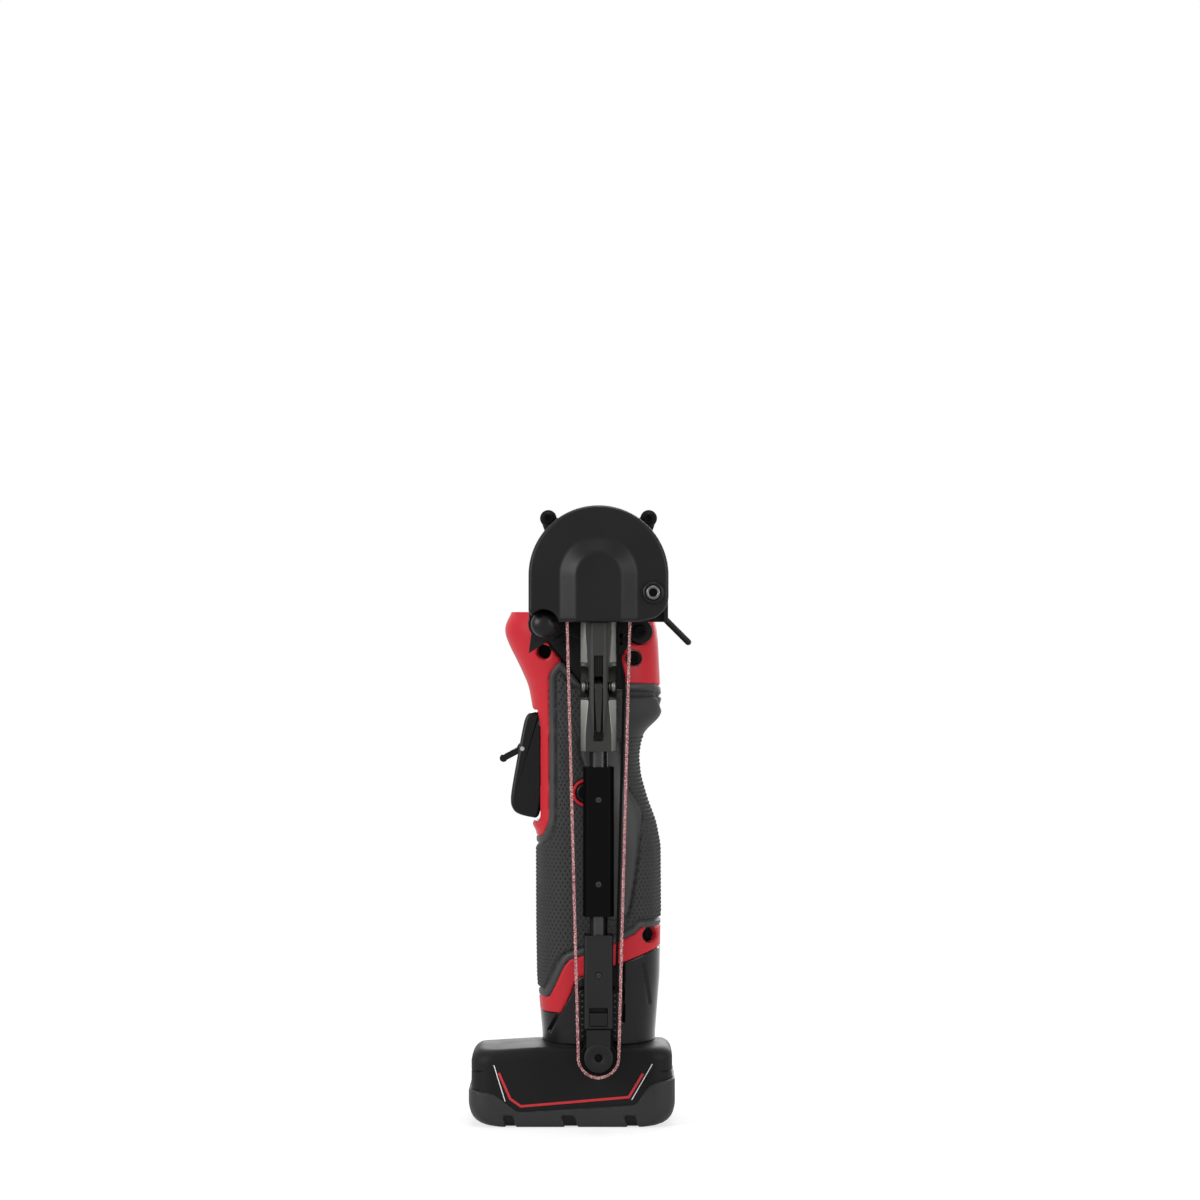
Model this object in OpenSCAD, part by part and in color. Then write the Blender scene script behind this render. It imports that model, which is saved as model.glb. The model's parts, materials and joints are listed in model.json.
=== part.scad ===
// Cordless belt file: a narrow sanding belt runs round an arm that swivels about the head of the tool.
// Millimetres. The origin is on the underside of the battery, below the handle's axis.
// +X is towards the back of the hand, +Y away from the arm, +Z up the handle.

/* [Belt] */
// Length of the sanding belt round its middle
belt_l = 457; // [440:1:500]
// Width of the sanding belt
belt_w = 13; // [10:0.5:16]
// Thickness of the sanding belt
belt_t = 0.8; // [0.5:0.1:1]
// Radius of the drive wheel over its tyre
wheel_r = 12.5; // [11.5:0.25:13.5]
// Radius of the tip roller
roller_r = 7.5; // [7:0.25:8.5]

/* [Arm] */
// Width of the arm base
base_w = 14.7; // [13:0.1:16]
// How far the arm base reaches past the belt's path on either side
base_lap = 1.5; // [1:0.1:2.5]
// Reach of the arm base from the drive axis
base_l = 71.4; // [70:0.2:76]
// How far the arm shortens for a belt change
retract = 6; // [4:0.5:7]
// Width of the clamping tube
tube_w = 12.5; // [11:0.1:13]
// Radius of the rods in the arm
rod_r = 3.7; // [3.2:0.1:4.2]
// Width of the fork block
fork_w = 12; // [11:0.1:12.4]
// Length of the fork block
fork_l = 38; // [34:0.5:42]
// Thickness of the platen strip behind the belt
platen_t = 1.1; // [0.8:0.1:1.4]

/* [Head] */
// Radius of the gear case
case_r = 27; // [26:0.5:29]
// Depth of the gear case behind the motor axis
case_rear = 14.5; // [14:0.5:18]
// Radius of the neck that the arm turns on
neck_r = 16; // [15:0.25:17]
// Wall of the arm's swivel ring
ring_wall = 3.5; // [3:0.25:4.5]
// Radius of the belt guard
guard_r = 28.3; // [27:0.1:30]
// Wall of the belt guard
guard_t = 2; // [1.5:0.1:2.5]

/* [Drive] */
// Teeth on the motor pinion
pinion_teeth = 12; // [12:1:14]
// Teeth on the bevel gear
gear_teeth = 30; // [28:1:31]
// Tooth size of the bevel pair, as a module
gear_module = 1.25; // [1.1:0.05:1.25]
// Radius of the output shaft
shaft_r = 4; // [3.5:0.25:4.5]
// Radius of the motor shaft
motor_shaft_r = 2.5; // [2:0.25:3]
// Outer radius of the motor stator
stator_r = 18.4; // [17:0.1:18.6]
// Length of the motor stator
stator_l = 20; // [16:0.5:22]

/* [Handle] */
// Height of the handle from the pack to the top of the collar
handle_h = 175; // [168:1:190]
// Shell and grip beside the battery stem
side_wall = 6.8; // [6:0.1:7.6]
// Shell and grip in front of and behind the battery stem
face_wall = 3.2; // [2.8:0.1:4]
// Thickness of the rubber grip
grip_t = 1.5; // [1.2:0.1:1.8]

/* [Controls] */
// Length of the paddle switch
paddle_l = 43; // [38:0.5:46]
// Width of the paddle switch
paddle_w = 22; // [18:0.5:24]
// Radius of the speed button
button_r = 4.2; // [3.5:0.1:5]
// Length of the arm lock lever
lock_reach = 22.3; // [18:0.1:26]
// Radius of the belt tracking knob
knob_r = 5.4; // [5:0.1:6]

/* [Battery pack] */
// Diameter of a battery cell
cell_d = 18.3; // [18:0.1:18.6]
// Length of a battery cell
cell_l = 65; // [60:0.5:66]
// Width of the pack's foot
pack_w = 84; // [80:0.5:92]
// Room between the foot's cells and its wall
cell_room = 0.2; // [0.1:0.05:3]
// Height of the pack's foot
pack_h = 35.7; // [33:0.1:40]
// Wall of the pack's case
pack_wall = 1.2; // [1.1:0.1:1.3]

/* [Fits] */
// Radial clearance of a shaft or pin that turns
running_gap = 0.05; // [0.02:0.01:0.1]
// Clearance of pieces that are seated together
seat_gap = 0.05; // [0.02:0.01:0.1]
// Clearance of pieces that slide or pass each other
pass_gap = 0.3; // [0.2:0.05:0.5]

/* [Hidden] */
$fn = 64;

// How far a cut runs past the face that it opens, and a shape into the one that it joins
overrun = 1;
// Points round a turn and round the wire of a coil spring
coil_steps = 10;
coil_sides = 6;
// Thickness of the slices that the lofted shapes are drawn between
slice_t = 0.01;

// Battery pack and stem: three cells upright in the stem, with the pointed side of their triangle to +X
cell_r = cell_d / 2;
cell_gap = 0.15;
cell_pitch = cell_d + 2 * cell_gap;
cell_dx = cell_pitch * sqrt(3) / 4;
cell_dy = cell_pitch / 2;
stem_r = cell_r + cell_gap + pack_wall;
stem_w = 2 * (cell_dx + stem_r);
stem_d = 2 * (cell_dy + stem_r);
stem_top_wall = 1.5;
pack_d = 2 * (cell_d + cell_gap + cell_r + cell_room + pack_wall);
pack_shift = -11;
pack_left = pack_shift - pack_w / 2;
pack_floor = 3;
pack_seam = 16;
pack_corner_r = 9;
rim_out = 0.6;
rim_step = 2;
stem_floor = 2;
stem_cell_z = pack_h + stem_floor;
stem_top = stem_cell_z + cell_l + cell_gap + stem_top_wall;
label_t = 0.5;
label_lift = 1;
stripe_w = 2.6;
// Height above the seam and draw of the pack's shoulders
shoulder_shares = [[0, 0], [0.55, 0.02], [0.70, 0.08], [0.80, 0.2], [0.88, 0.4], [0.94, 0.65], [1, 1]];
shoulder_in = 5;
latch_w = 17;
latch_h = 20;
latch_t = 3;
latch_out = 1.6;

// Handle
handle_z = pack_h + pass_gap;
case_neck_margin = 0.5;
case_neck_r = stator_r + case_neck_margin;
case_neck_flare = 1.6;
neck_wall = 2.2;
neck_d = 2 * (case_neck_r + case_neck_flare + seat_gap + neck_wall);
handle_w = max(stem_w + 2 * (pass_gap + side_wall), neck_d);
handle_d = max(stem_d + 2 * (pass_gap + face_wall), neck_d);
section_power = 2.6;
section_points = 44;
// Height, left reach, right reach and depth of the handle's sections, from the pack to the collar
handle_shares = [
    [0.000, 0.910, 0.920, 0.935], [0.051, 0.945, 0.945, 0.955], [0.137, 0.990, 0.990, 0.985],
    [0.263, 1.004, 1.006, 1.000], [0.446, 1.008, 1.000, 1.000], [0.503, 1.008, 0.925, 0.985],
    [0.554, 1.008, 0.792, 0.965], [0.611, 1.008, 0.680, 0.945], [0.657, 1.008, 0.650, 0.935],
    [0.697, 1.010, 0.690, 0.935], [0.722, 1.015, 0.775, 0.945], [0.743, 1.025, 0.960, 0.960],
    [0.762, 1.060, 1.035, 0.970], [0.800, 1.105, 1.025, 0.985], [0.826, 1.140, 1.000, 0.990],
    [0.874, 1.286, 0.985, 0.995], [0.920, 1.447, 0.970, 1.000], [0.952, 1.530, 0.952, 1.000],
    [0.977, 1.500, 0.925, 0.990], [1.000, 1.400, 0.880, 0.970]];
// Outline of the rubber grip, seen from the front
grip_shares = [
    [-0.808, 0.849], [-0.808, 0.515], [-0.850, 0.490], [-0.920, 0.472], [-1.200, 0.460], [-1.200, 0.090],
    [-0.808, 0.090], [-0.710, 0.118], [-0.561, 0.166], [-0.463, 0.183], [-0.298, 0.190], [0.353, 0.227],
    [0.600, 0.243], [0.682, 0.257], [1.200, 0.257], [1.200, 0.831], [-0.330, 0.831], [-0.588, 0.880],
    [-0.740, 0.866]];
// Upper edge of the black sleeve below the red band
sleeve_shares = [
    [-1.250, 0.055], [-0.612, 0.055], [-0.447, 0.101], [-0.380, 0.129], [-0.298, 0.142], [0.353, 0.174],
    [0.945, 0.205], [1.250, 0.215], [1.250, -0.050], [-1.250, -0.050]];
latch_notch_h = latch_h + 2 * pass_gap;

// Head: the output axis crosses the motor axis here
collar_to_axis = 15;
axis_z = handle_z + handle_h + collar_to_axis;
cheek_t = 2;
side_gap = 0.3;
arm_gap = 2.2;
yoke_half = belt_w / 2 + side_gap + cheek_t;
arm_y = -(pack_d / 2 + arm_gap + yoke_half);
wheel_back = arm_y + belt_w / 2;
wheel_front = arm_y - belt_w / 2;
wheel_gap = 0.6;
base_d = belt_w + 2 * base_lap;
plate_t = 2.6;
plate_front = wheel_back + wheel_gap;
plate_back = plate_front + plate_t;
ring_l = 6.3;
ring_back = plate_back + ring_l;
ring_r = neck_r + running_gap + ring_wall;
case_front = ring_back + pass_gap;
neck_front = plate_back + 2 * pass_gap;
case_neck = 36;
case_neck_top = 24.5;
cover_t = 8;
cover_rim_t = 5;
cover_r = 26.4;
cover_crown_r = 16;
ear_x = 17.3;
ear_drop = 23;
ear_r = 5;
ear_back = -12;
// Tongues of the gear case that show through the red collar, across the handle and down the neck
tongue_shares = [[-0.900, 0.680], [-0.863, 0.736], [-0.298, 1.236], [0.412, 1.300], [0.380, 0.917],
                 [0.560, 0.708], [0.560, 0.680]];
tongue_in = case_neck_r;
tongue_t = 1.7;
tongue_root_t = 4;
tongue_out = min(tongue_in + tongue_t, -case_front - pass_gap);
case_screw_r = 1.5;
case_screw_head_r = 2.8;
case_screw_head_t = 2;
case_screw_l = 9;
screw_short = 1;
cover_screw_ring = 24;
cover_screw_count = 4;
cover_screw_head_r = 2.3;

// Bearings of the output shaft and the motor
output_bearing_r = 9.5;
output_bearing_w = 6;
front_bearing_y = -20;
motor_bearing_w = 5;
motor_bearing_r = 8;
rear_bearing_r = 6.5;
rear_bearing_w = 4;

// Bevel pair
pinion_pitch_r = gear_module * pinion_teeth / 2;
gear_pitch_r = gear_module * gear_teeth / 2;
cone_l = sqrt(pinion_pitch_r ^ 2 + gear_pitch_r ^ 2);
pinion_cone = atan(pinion_teeth / gear_teeth);
gear_cone = atan(gear_teeth / pinion_teeth);
pressure_angle = 20;
face_share = 0.3;
tooth_top_share = 0.85;
tooth_root_share = 1.25;
tooth_sink_share = 0.3;
tooth_top = tooth_top_share * gear_module;
tooth_root = tooth_root_share * gear_module;
tooth_sink = tooth_sink_share * gear_module;
backlash = 0.3;
chamber_margin = 2.6;
chamber_r = gear_pitch_r + chamber_margin;
chamber_front = -13;
pinion_margin = 2.2;
pinion_bore_r = pinion_pitch_r + pinion_margin;
pinion_hub_share = 0.7;
pinion_hub_l = 5;
gear_hub_r = 8;
gear_hub_back = 13.6;
hub_rim = 1;
shaft_back = case_rear + output_bearing_w;
shaft_short = 1;
shaft_front = wheel_front + shaft_short;
shoulder_h = 1.4;
shoulder_r = shaft_r + shoulder_h;
tyre_t = 2.5;
wheel_hub_r = wheel_r - tyre_t;
wheel_web_r = 6.5;
wheel_rim_t = 1;
wheel_dish = 2.5;
wheel_screw_r = 2;
wheel_screw_l = 9;
wheel_screw_head_r = 5;
wheel_screw_head_t = 2.4;

// Motor, below the gear case
motor_front = axis_z - case_neck;
fan_t = 3.2;
fan_r = 16.8;
fan_blade_t = 1;
fan_blades = 11;
fan_hub_r = 8;
fan_rim = 1;
fan_gap = 1;
stator_top = motor_front - pass_gap - fan_t - fan_gap;
stator_z = stator_top - stator_l;
stator_slots = 9;
stator_bore_r = 10.2;
stator_slot_r = 15.6;
stator_slot_w = 3.6;
air_gap = 0.5;
core_r = stator_bore_r - air_gap;
core_over = 0.5;
bearing_lift = 0.4;
rear_bearing_z = stator_z - core_over - rear_bearing_w - bearing_lift;
motor_end = rear_bearing_z - bearing_lift;
pinion_shaft_end = 4;
motor_shaft_top = axis_z - gear_pitch_r + pinion_shaft_end;

// Electronics bay between the stem and the motor
bay_left = -17;
bay_right = 13;
bay_half_d = 14;
stem_headroom = 2;
bay_z = stem_top + stem_headroom;
bay_roof = 1.6;
bay_top = motor_end - bay_roof;
board_t = 1.6;
terminal_h = 6;
switch_right = 2;
switch_half_d = 8;
switch_h = 26;
plunger_r = 2.2;
plunger_reach = 4;

// Paddle switch, its pin, its spring and its lock-off lever
paddle_top_share = 0.762;
paddle_top = handle_z + paddle_top_share * handle_h;
paddle_stand = 0.6;
paddle_in = handle_w / 2 + paddle_stand;
// Depth and drop of the paddle's outline, from its upper inner corner
paddle_shares = [[0, 0], [0.16, 0.02], [0.46, 0.18], [0.62, 0.42], [1, 0.88], [0.97, 0.95], [0.88,
    0.98], [0, 1]];
paddle_out = 10.2;
paddle_pivot_drop = 4.5;
paddle_pivot_in = 2.4;
paddle_pin_r = 1.2;
paddle_boss_r = 2.4;
paddle_pin_over = 3;
well_depth = 8;
paddle_spring_r = 2.2;
paddle_spring_wire = 0.7;
paddle_spring_drop = 33;
lock_pivot_in = 5.4;
lock_pivot_drop = 15;
lock_pin_r = 0.9;
lock_w = 8;
lock_hub_r = 2.3;
lock_reach_out = 10.6;
lock_tip_r = 1.3;
lock_bead_r = 1.6;
lock_window_h = 13;
lock_tilt = 28;
lock_heel_l = 4.4;

// Speed button
button_x = -5;
button_z_share = 0.575;
button_z = handle_z + button_z_share * handle_h;
button_travel = 1;
button_l = 6;
button_flange_w = 0.9;
button_flange_r = button_r + button_flange_w;
button_flange_t = 1;
bezel_w = 1.6;
bezel_r = button_r + bezel_w;
button_proud = 0.4;
button_face_share = 0.955;
button_face = -handle_d / 2 * button_face_share;

// Shell screws: two through the halves and one into the gear case
shell_screw_r = 1.4;
shell_screw_head_r = 2.6;
shell_screw_head_t = 2;
shell_screw_l = 16;
shell_screw_seat = -8;
shell_screw_shares = [[-0.885, 0.906], [0.832, 0.238]];
// The upper screw also clears the neck of the gear case
shell_screw_land = 0.7;
shell_screw_clear = case_neck_r + case_neck_flare + shell_screw_r + 2 * seat_gap + shell_screw_land;
shell_screw_xs = [min(shell_screw_shares[0][0] * handle_w / 2, -shell_screw_clear),
                  shell_screw_shares[1][0] * handle_w / 2];
case_fix_x = 14.6;
case_fix_drop = 34;
case_fix_depth = 17;
case_fix_land = 2.6;
case_fix_seat = -max(case_fix_depth,
    sqrt(pow(case_neck_r + case_neck_flare, 2) - pow(case_fix_x, 2)) + case_fix_land);
case_fix_l = 8;
recess_r = shell_screw_head_r + pass_gap;

// Arm, measured down from the drive axis
belt_gap = 0.15;
wheel_belt_r = wheel_r + belt_gap;
roller_belt_r = roller_r + belt_gap;
belt_mid_wheel = wheel_belt_r + belt_t / 2;
belt_mid_roller = roller_belt_r + belt_t / 2;
belt_straight = belt_l - PI * (belt_mid_wheel + belt_mid_roller);
arm_l = (belt_straight + sqrt(belt_straight ^ 2 - 8 * (belt_mid_wheel - belt_mid_roller) ^ 2)) / 4;
belt_lean = asin((wheel_r - roller_r) / arm_l);
belt_arc_steps = 36;
beam_clear = 2.4;
beam_top = wheel_r + belt_t + beam_clear;
base_front = arm_y - base_d / 2;
base_chamfer = 2;
rib_h = 1.5;
rib_top = 19;
rib_w = 7.4;
rib_taper_from = 52;
rib_end = 65;
rib_end_w = 4.4;
lever_w = 3;
lever_gap = 0.3;
lever_pivot = 45;
lever_pivot_in = 2.2;
lever_hub_r = 2.4;
lever_tip = 63.8;
lever_t = 2;
lever_pin_r = 1;
pin_pocket_w = 2.2;
pin_pocket_h = 3.4;
groove_top = 32.5;
finger_r = 2;
tip_gap = 0.4;
tube_chamfer = 1.8;
tube_start = base_l + retract + tip_gap;
rod_show = 7.6;
tip_reach = 11.3;
fork_end = arm_l - tip_reach;
fork_start = fork_end - fork_l;
tube_end = fork_start - rod_show;
tube_mid = (tube_start + tube_end) / 2;
rod_top = 56;
spindle_r = 1.6;
spindle_top = 42;
spindle_clear = 2;
bore_top = 41;
spring_r = 3.3;
spring_wire = 0.8;
spring_turns = 6;
rod_half_gap = 0.8;
fork_seat = 26;
set_screw_r = 1.3;
set_screw_in = 0.5;
set_screw_inset = 13.2;
fork_screw_drop = 16.2;
hex_share = 0.55;
tongue_w = 7.8;
tongue_d = 7;
tongue_l = 10;
window_w = 7.4;
window_l = 7.4;
window_end = 1.2;
pad_l = 5.4;
bridge_t = 3.2;
bridge_gap = 0.1;
cheek_r = 5.3;
yoke_w = 9.7;
roller_pin_r = 1.5;

// Platen strip: on the base's side, then out to just inside the belt
platen_foot_top = 20;
platen_foot_end = 31;
platen_bend_end = 41;
platen_belt_gap = 0.6;
platen_short = 26;
platen_end = arm_l - platen_short;
platen_screw_drop = 26;
platen_screw_r = 1.5;
platen_screw_head_r = 2.4;
platen_screw_head_t = 1.4;
platen_screw_l = 2.2;

// Belt guard
guard_seam_shift = 1;
guard_seam = arm_y - guard_seam_shift;
guard_reach = 4;
guard_front = base_front - guard_reach;
guard_drop = 19;
bump_r = 15.5;
bump_top_r = 9;
bump_h = 4;
guard_ear_x = 20.4;
guard_ear_z = 23.2;
guard_lug_share = 0.8;
guard_ear_r = 3.4;
guard_screw_r = 1.3;
guard_screw_head_r = 2.3;
guard_screw_head_t = 1.8;
cover_fix_x = 22;
cover_fix_z = -7;
cover_fix_r = 2;
cover_fix_head_r = 2.8;
cover_fix_sleeve_r = 4.5;
cover_fix_proud = 2.2;
knob_x = -22;
knob_z = -19.7;
knob_stem_r = 2;
knob_sink = 3;
knob_front = guard_front + knob_sink;
knob_base_y = plate_front - pass_gap;
knob_dome_h = 4;
knob_flutes = 14;
knob_flute_r = 0.7;
knob_ear_r = 5;
knob_ear_tip = [-28.6, -31.8];

// Lever beside the arm's ring that locks the swivel
lock_x = 21;
lock_z = -11.5;
lock_hub_big_r = 4;
lock_rod_r = 1.3;
lock_slope = 45;
lock_pin_big_r = 1.6;
lock_pin_head_r = 2.8;
lock_pin_head_t = 0.6;
lock_hub_back = case_front - pass_gap;
lock_hub_clear = 1.2;
lock_hub_front = plate_back + lock_hub_clear;
lock_pin_l = 7;

module at_axis() translate([0, 0, axis_z]) children();

// Cylinder along Y between two places
module along_y(from, to, r) translate([0, from, 0]) rotate([-90, 0, 0]) cylinder(h = to - from, r = r);

// Cylinder along X between two places
module along_x(from, to, r) translate([from, 0, 0]) rotate([0, 90, 0]) cylinder(h = to - from, r = r);

// Outline in X and Z, carried along Y between two places
module slab(from, to) translate([0, to, 0]) rotate([90, 0, 0]) linear_extrude(to - from) children();

// Profile of radius and height turned about Y
module turned_y() rotate([-90, 0, 0]) rotate_extrude() children();

// Block between two corners
module block(low, high) translate(low) cube(high - low);

// Ring about Y
module ring_y(from, to, r_out, r_in) difference() {
    along_y(from, to, r_out);
    along_y(from - overrun, to + overrun, r_in);
}

// Ring about Z
module ring_z(from, to, r_out, r_in) translate([0, 0, from]) difference() {
    cylinder(h = to - from, r = r_out);
    translate([0, 0, -overrun]) cylinder(h = to - from + 2 * overrun, r = r_in);
}

// Screw along Y with its head towards -Y: the shank starts at seat
module screw_y(seat, r, l, head_r, head_t) difference() {
    union() {
        along_y(seat - head_t, seat, head_r);
        along_y(seat - head_t / 2, seat + l, r);
    }
    translate([0, seat - head_t - overrun, 0]) rotate([-90, 0, 0])
        cylinder(h = head_t / 2 + overrun, r = head_r * hex_share, $fn = 6);
}

// Coil spring along Z as one tube, from 0 to h
module coil(r, wire, turns, h) {
    steps = turns * coil_steps;
    sides = coil_sides;
    rows = [for (i = [0 : steps]) let (turn = 360 * turns * i / steps, rise = wire / 2 + (h - wire)
        * i / steps)
        for (k = [0 : sides - 1]) let (side = 360 * k / sides,
            reach = r - wire / 2 + wire / 2 * cos(side))
            [reach * cos(turn), reach * sin(turn), rise + wire / 2 * sin(side)]];
    skin = [for (i = [0 : steps - 1]) for (k = [0 : sides - 1]) let (
        a = i * sides + k, b = i * sides + (k + 1) % sides, c = a + sides, d = b + sides)
        each [[a, c, b], [b, c, d]]];
    first = [for (k = [1 : sides - 2]) [0, k, k + 1]];
    last = [for (k = [1 : sides - 2]) [steps * sides, steps * sides + k + 1, steps * sides + k]];
    polyhedron(rows, concat(skin, first, last));
}

// Handle: a loft through the sections, drawn in by an inset
function section(half_w, half_d) = [for (i = [0 : section_points - 1]) let (
    a = 360 * i / section_points, c = cos(a), s = sin(a))
    [half_w * sign(c) * abs(c) ^ (2 / section_power), half_d * sign(s) * abs(s) ^ (2 / section_power)]];

function handle_ring(share, inset) = let (
    left = -share[1] * handle_w / 2 + inset, right = share[2] * handle_w / 2 - inset)
    [for (p = section((right - left) / 2, share[3] * handle_d / 2 - inset))
        [(left + right) / 2 + p[0], p[1], handle_z + share[0] * handle_h]];

// Straight-sided solid between two rings with as many points, the first below the second
module ring_span(low, high) {
    n = len(low);
    sides = [for (i = [0 : n - 1]) let (j = (i + 1) % n) each [[i, n + i, j], [j, n + i, n + j]]];
    floor_face = [for (i = [0 : n - 1]) i];
    roof_face = [for (i = [n - 1 : -1 : 0]) n + i];
    hull() polyhedron(concat(low, high), concat(sides, [floor_face, roof_face]));
}

module handle_loft(inset) for (i = [0 : len(handle_shares) - 2])
    ring_span(handle_ring(handle_shares[i], inset), handle_ring(handle_shares[i + 1], inset));

module handle_outline(shares) polygon([for (p = shares) [p[0] * handle_w / 2,
    handle_z + p[1] * handle_h]]);

module stem_outline(grow) hull() {
    for (s = [-1, 1]) translate([-cell_dx, s * cell_dy]) circle(stem_r + grow);
    translate([cell_dx, 0]) circle(stem_r + grow);
}

module tongue_outline() polygon([for (p = tongue_shares) [p[0] * handle_w / 2, -p[1] * case_neck]]);

module screw_places() for (i = [0 : len(shell_screw_xs) - 1])
    translate([shell_screw_xs[i], 0, handle_z + shell_screw_shares[i][1] * handle_h]) children();

module paddle_place() translate([-paddle_in, 0, paddle_top]) children();

// What the handle's halves are hollowed by
module handle_hollows() {
    translate([0, 0, handle_z - overrun]) linear_extrude(bay_z - handle_z + overrun)
        stem_outline(pass_gap);
    block([bay_left, -bay_half_d, bay_z - overrun], [bay_right, bay_half_d, bay_top]);
    translate([0, 0, rear_bearing_z - seat_gap])
        cylinder(h = stator_z - rear_bearing_z, r = rear_bearing_r + seat_gap);
    translate([0, 0, stator_z - core_over - seat_gap])
        cylinder(h = motor_front - stator_z + core_over, r = stator_r + seat_gap);
    translate([0, 0, motor_front - overrun]) cylinder(h = case_neck,
        r = case_neck_r + case_neck_flare + seat_gap);
    at_axis() along_y(-handle_d, handle_d, case_r + pass_gap);
    at_axis() for (s = [-1, 1]) translate([s * ear_x, 0, -ear_drop])
        along_y(-handle_d, handle_d, ear_r + pass_gap);
    at_axis() for (s = [-1, 1]) slab(min(s * tongue_in, s * handle_d), max(s * tongue_in, s * handle_d))
        offset(delta = seat_gap) tongue_outline();
    paddle_place() block([-paddle_out, -paddle_w / 2 - pass_gap, -paddle_l - 2 * overrun],
        [well_depth, paddle_w / 2 + pass_gap, overrun]);
    paddle_place() translate([paddle_pivot_in, 0, -paddle_pivot_drop])
        along_y(-paddle_w / 2 - paddle_pin_over, paddle_w / 2 + paddle_pin_over,
            paddle_pin_r + seat_gap);
    translate([-paddle_in, 0, bay_top - switch_h / 2])
        along_x(0, paddle_in + bay_left + overrun, plunger_r + pass_gap);
    translate([button_x, 0, button_z]) along_y(-handle_d, -bay_half_d + overrun, bezel_r + seat_gap);
    screw_places() along_y(-handle_d, shell_screw_seat, recess_r);
    screw_places() along_y(shell_screw_seat - overrun, shell_screw_seat + shell_screw_l,
        shell_screw_r + seat_gap);
    at_axis() translate([case_fix_x, 0, -case_fix_drop]) {
        along_y(-handle_d, case_fix_seat, recess_r);
        along_y(case_fix_seat - overrun, 0, shell_screw_r + seat_gap);
    }
}

module handle_half(s) translate([-handle_w, s > 0 ? 0 : -handle_d, 0])
    cube([2 * handle_w, handle_d, handle_z + 2 * handle_h]);

module shell(s) intersection() {
    difference() {
        handle_loft(0);
        slab(-handle_d, handle_d) handle_outline(sleeve_shares);
        difference() {
            slab(-handle_d, handle_d) handle_outline(grip_shares);
            handle_loft(grip_t);
        }
        handle_hollows();
    }
    handle_half(s);
}

module grip(s) intersection() {
    difference() {
        handle_loft(0);
        handle_loft(grip_t);
        handle_hollows();
    }
    slab(-handle_d, handle_d) handle_outline(grip_shares);
    handle_half(s);
}

module front_shell() color("firebrick") shell(-1);

module rear_shell() color("firebrick") shell(1);

module front_grip() color("dimgray") grip(-1);

module rear_grip() color("dimgray") grip(1);

module battery_sleeve() color([0.12, 0.12, 0.12]) difference() {
    intersection() {
        handle_loft(0);
        slab(-handle_d, handle_d) handle_outline(sleeve_shares);
    }
    handle_hollows();
    block([-latch_w / 2 - pass_gap, -handle_d, 0], [latch_w / 2 + pass_gap, handle_d,
        handle_z + latch_notch_h]);
}

// Gear case and its cover
module cover_screw_places() for (i = [0 : cover_screw_count - 1])
    rotate([0, 45 + 360 * i / cover_screw_count, 0]) translate([cover_screw_ring, 0, 0]) children();

module gear_case() color([0.10, 0.10, 0.10]) at_axis() difference() {
    union() {
        along_y(case_front, case_rear, case_r);
        along_y(neck_front, case_front + overrun, neck_r);
        translate([0, 0, -case_neck])
            cylinder(h = case_neck - case_neck_top, r1 = case_neck_r,
                r2 = case_neck_r + case_neck_flare);
        for (s = [-1, 1]) slab(min(s * tongue_in, s * tongue_out), max(s * tongue_in, s * tongue_out))
            tongue_outline();
        block([-case_neck_r / 3, -tongue_out, -case_neck], [case_neck_r / 3,
            -tongue_in + tongue_root_t, -case_neck_top]);
        block([-case_neck_r / 3, tongue_in - tongue_root_t, -case_neck], [case_neck_r / 3, tongue_out,
            -case_neck_top]);
        for (s = [-1, 1]) translate([s * ear_x, 0, -ear_drop]) along_y(case_front, ear_back, ear_r);
    }
    along_y(case_rear, case_rear + 2 * cover_t, cover_r + pass_gap);
    along_y(chamber_front, case_rear + overrun, chamber_r);
    along_y(front_bearing_y, chamber_front + overrun, output_bearing_r + seat_gap);
    along_y(neck_front - overrun, front_bearing_y + overrun, shoulder_r);
    translate([0, 0, -case_neck + motor_bearing_w + overrun])
        cylinder(h = case_neck - motor_bearing_w, r = pinion_bore_r);
    translate([0, 0, -case_neck - overrun]) cylinder(h = motor_bearing_w + overrun,
        r = motor_bearing_r + seat_gap);
    translate([0, 0, -case_neck]) cylinder(h = case_neck, r = motor_shaft_r + pass_gap);
    for (s = [-1, 1]) translate([s * ear_x, 0, -ear_drop])
        along_y(case_front - overrun, case_front + case_screw_l, case_screw_r + seat_gap);
    cover_screw_places() along_y(case_rear - case_screw_l, case_rear + overrun, case_screw_r + seat_gap);
    translate([lock_x, 0, lock_z]) along_y(case_front - overrun, case_front + lock_pin_l,
        lock_pin_big_r + seat_gap);
    translate([case_fix_x, 0, -case_fix_drop]) along_y(case_fix_seat - overrun,
        case_fix_seat + case_fix_l + overrun,
        shell_screw_r + seat_gap);
}

module gear_case_cover() color([0.13, 0.13, 0.13]) at_axis() difference() {
    translate([0, case_rear, 0]) turned_y() polygon([[0, 0], [cover_r, 0], [cover_r, cover_rim_t],
        [cover_crown_r, cover_t], [0, cover_t]]);
    along_y(case_rear - overrun, case_rear + output_bearing_w, output_bearing_r + seat_gap);
    cover_screw_places() along_y(case_rear - overrun, case_rear + cover_t + overrun,
        case_screw_r + seat_gap);
    cover_screw_places() along_y(case_rear + cover_rim_t - case_screw_head_t,
        case_rear + cover_t + overrun,
        cover_screw_head_r + seat_gap);
}

module case_screws() color("silver") at_axis() {
    for (s = [-1, 1]) translate([s * ear_x, 0, -ear_drop])
        screw_y(case_front, case_screw_r, case_screw_l - screw_short, case_screw_head_r,
            case_screw_head_t);
    cover_screw_places() translate([0, case_rear + cover_rim_t - case_screw_head_t, 0]) rotate([0, 0,
        180])
        screw_y(0, case_screw_r, case_screw_l, cover_screw_head_r, case_screw_head_t);
}

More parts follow.
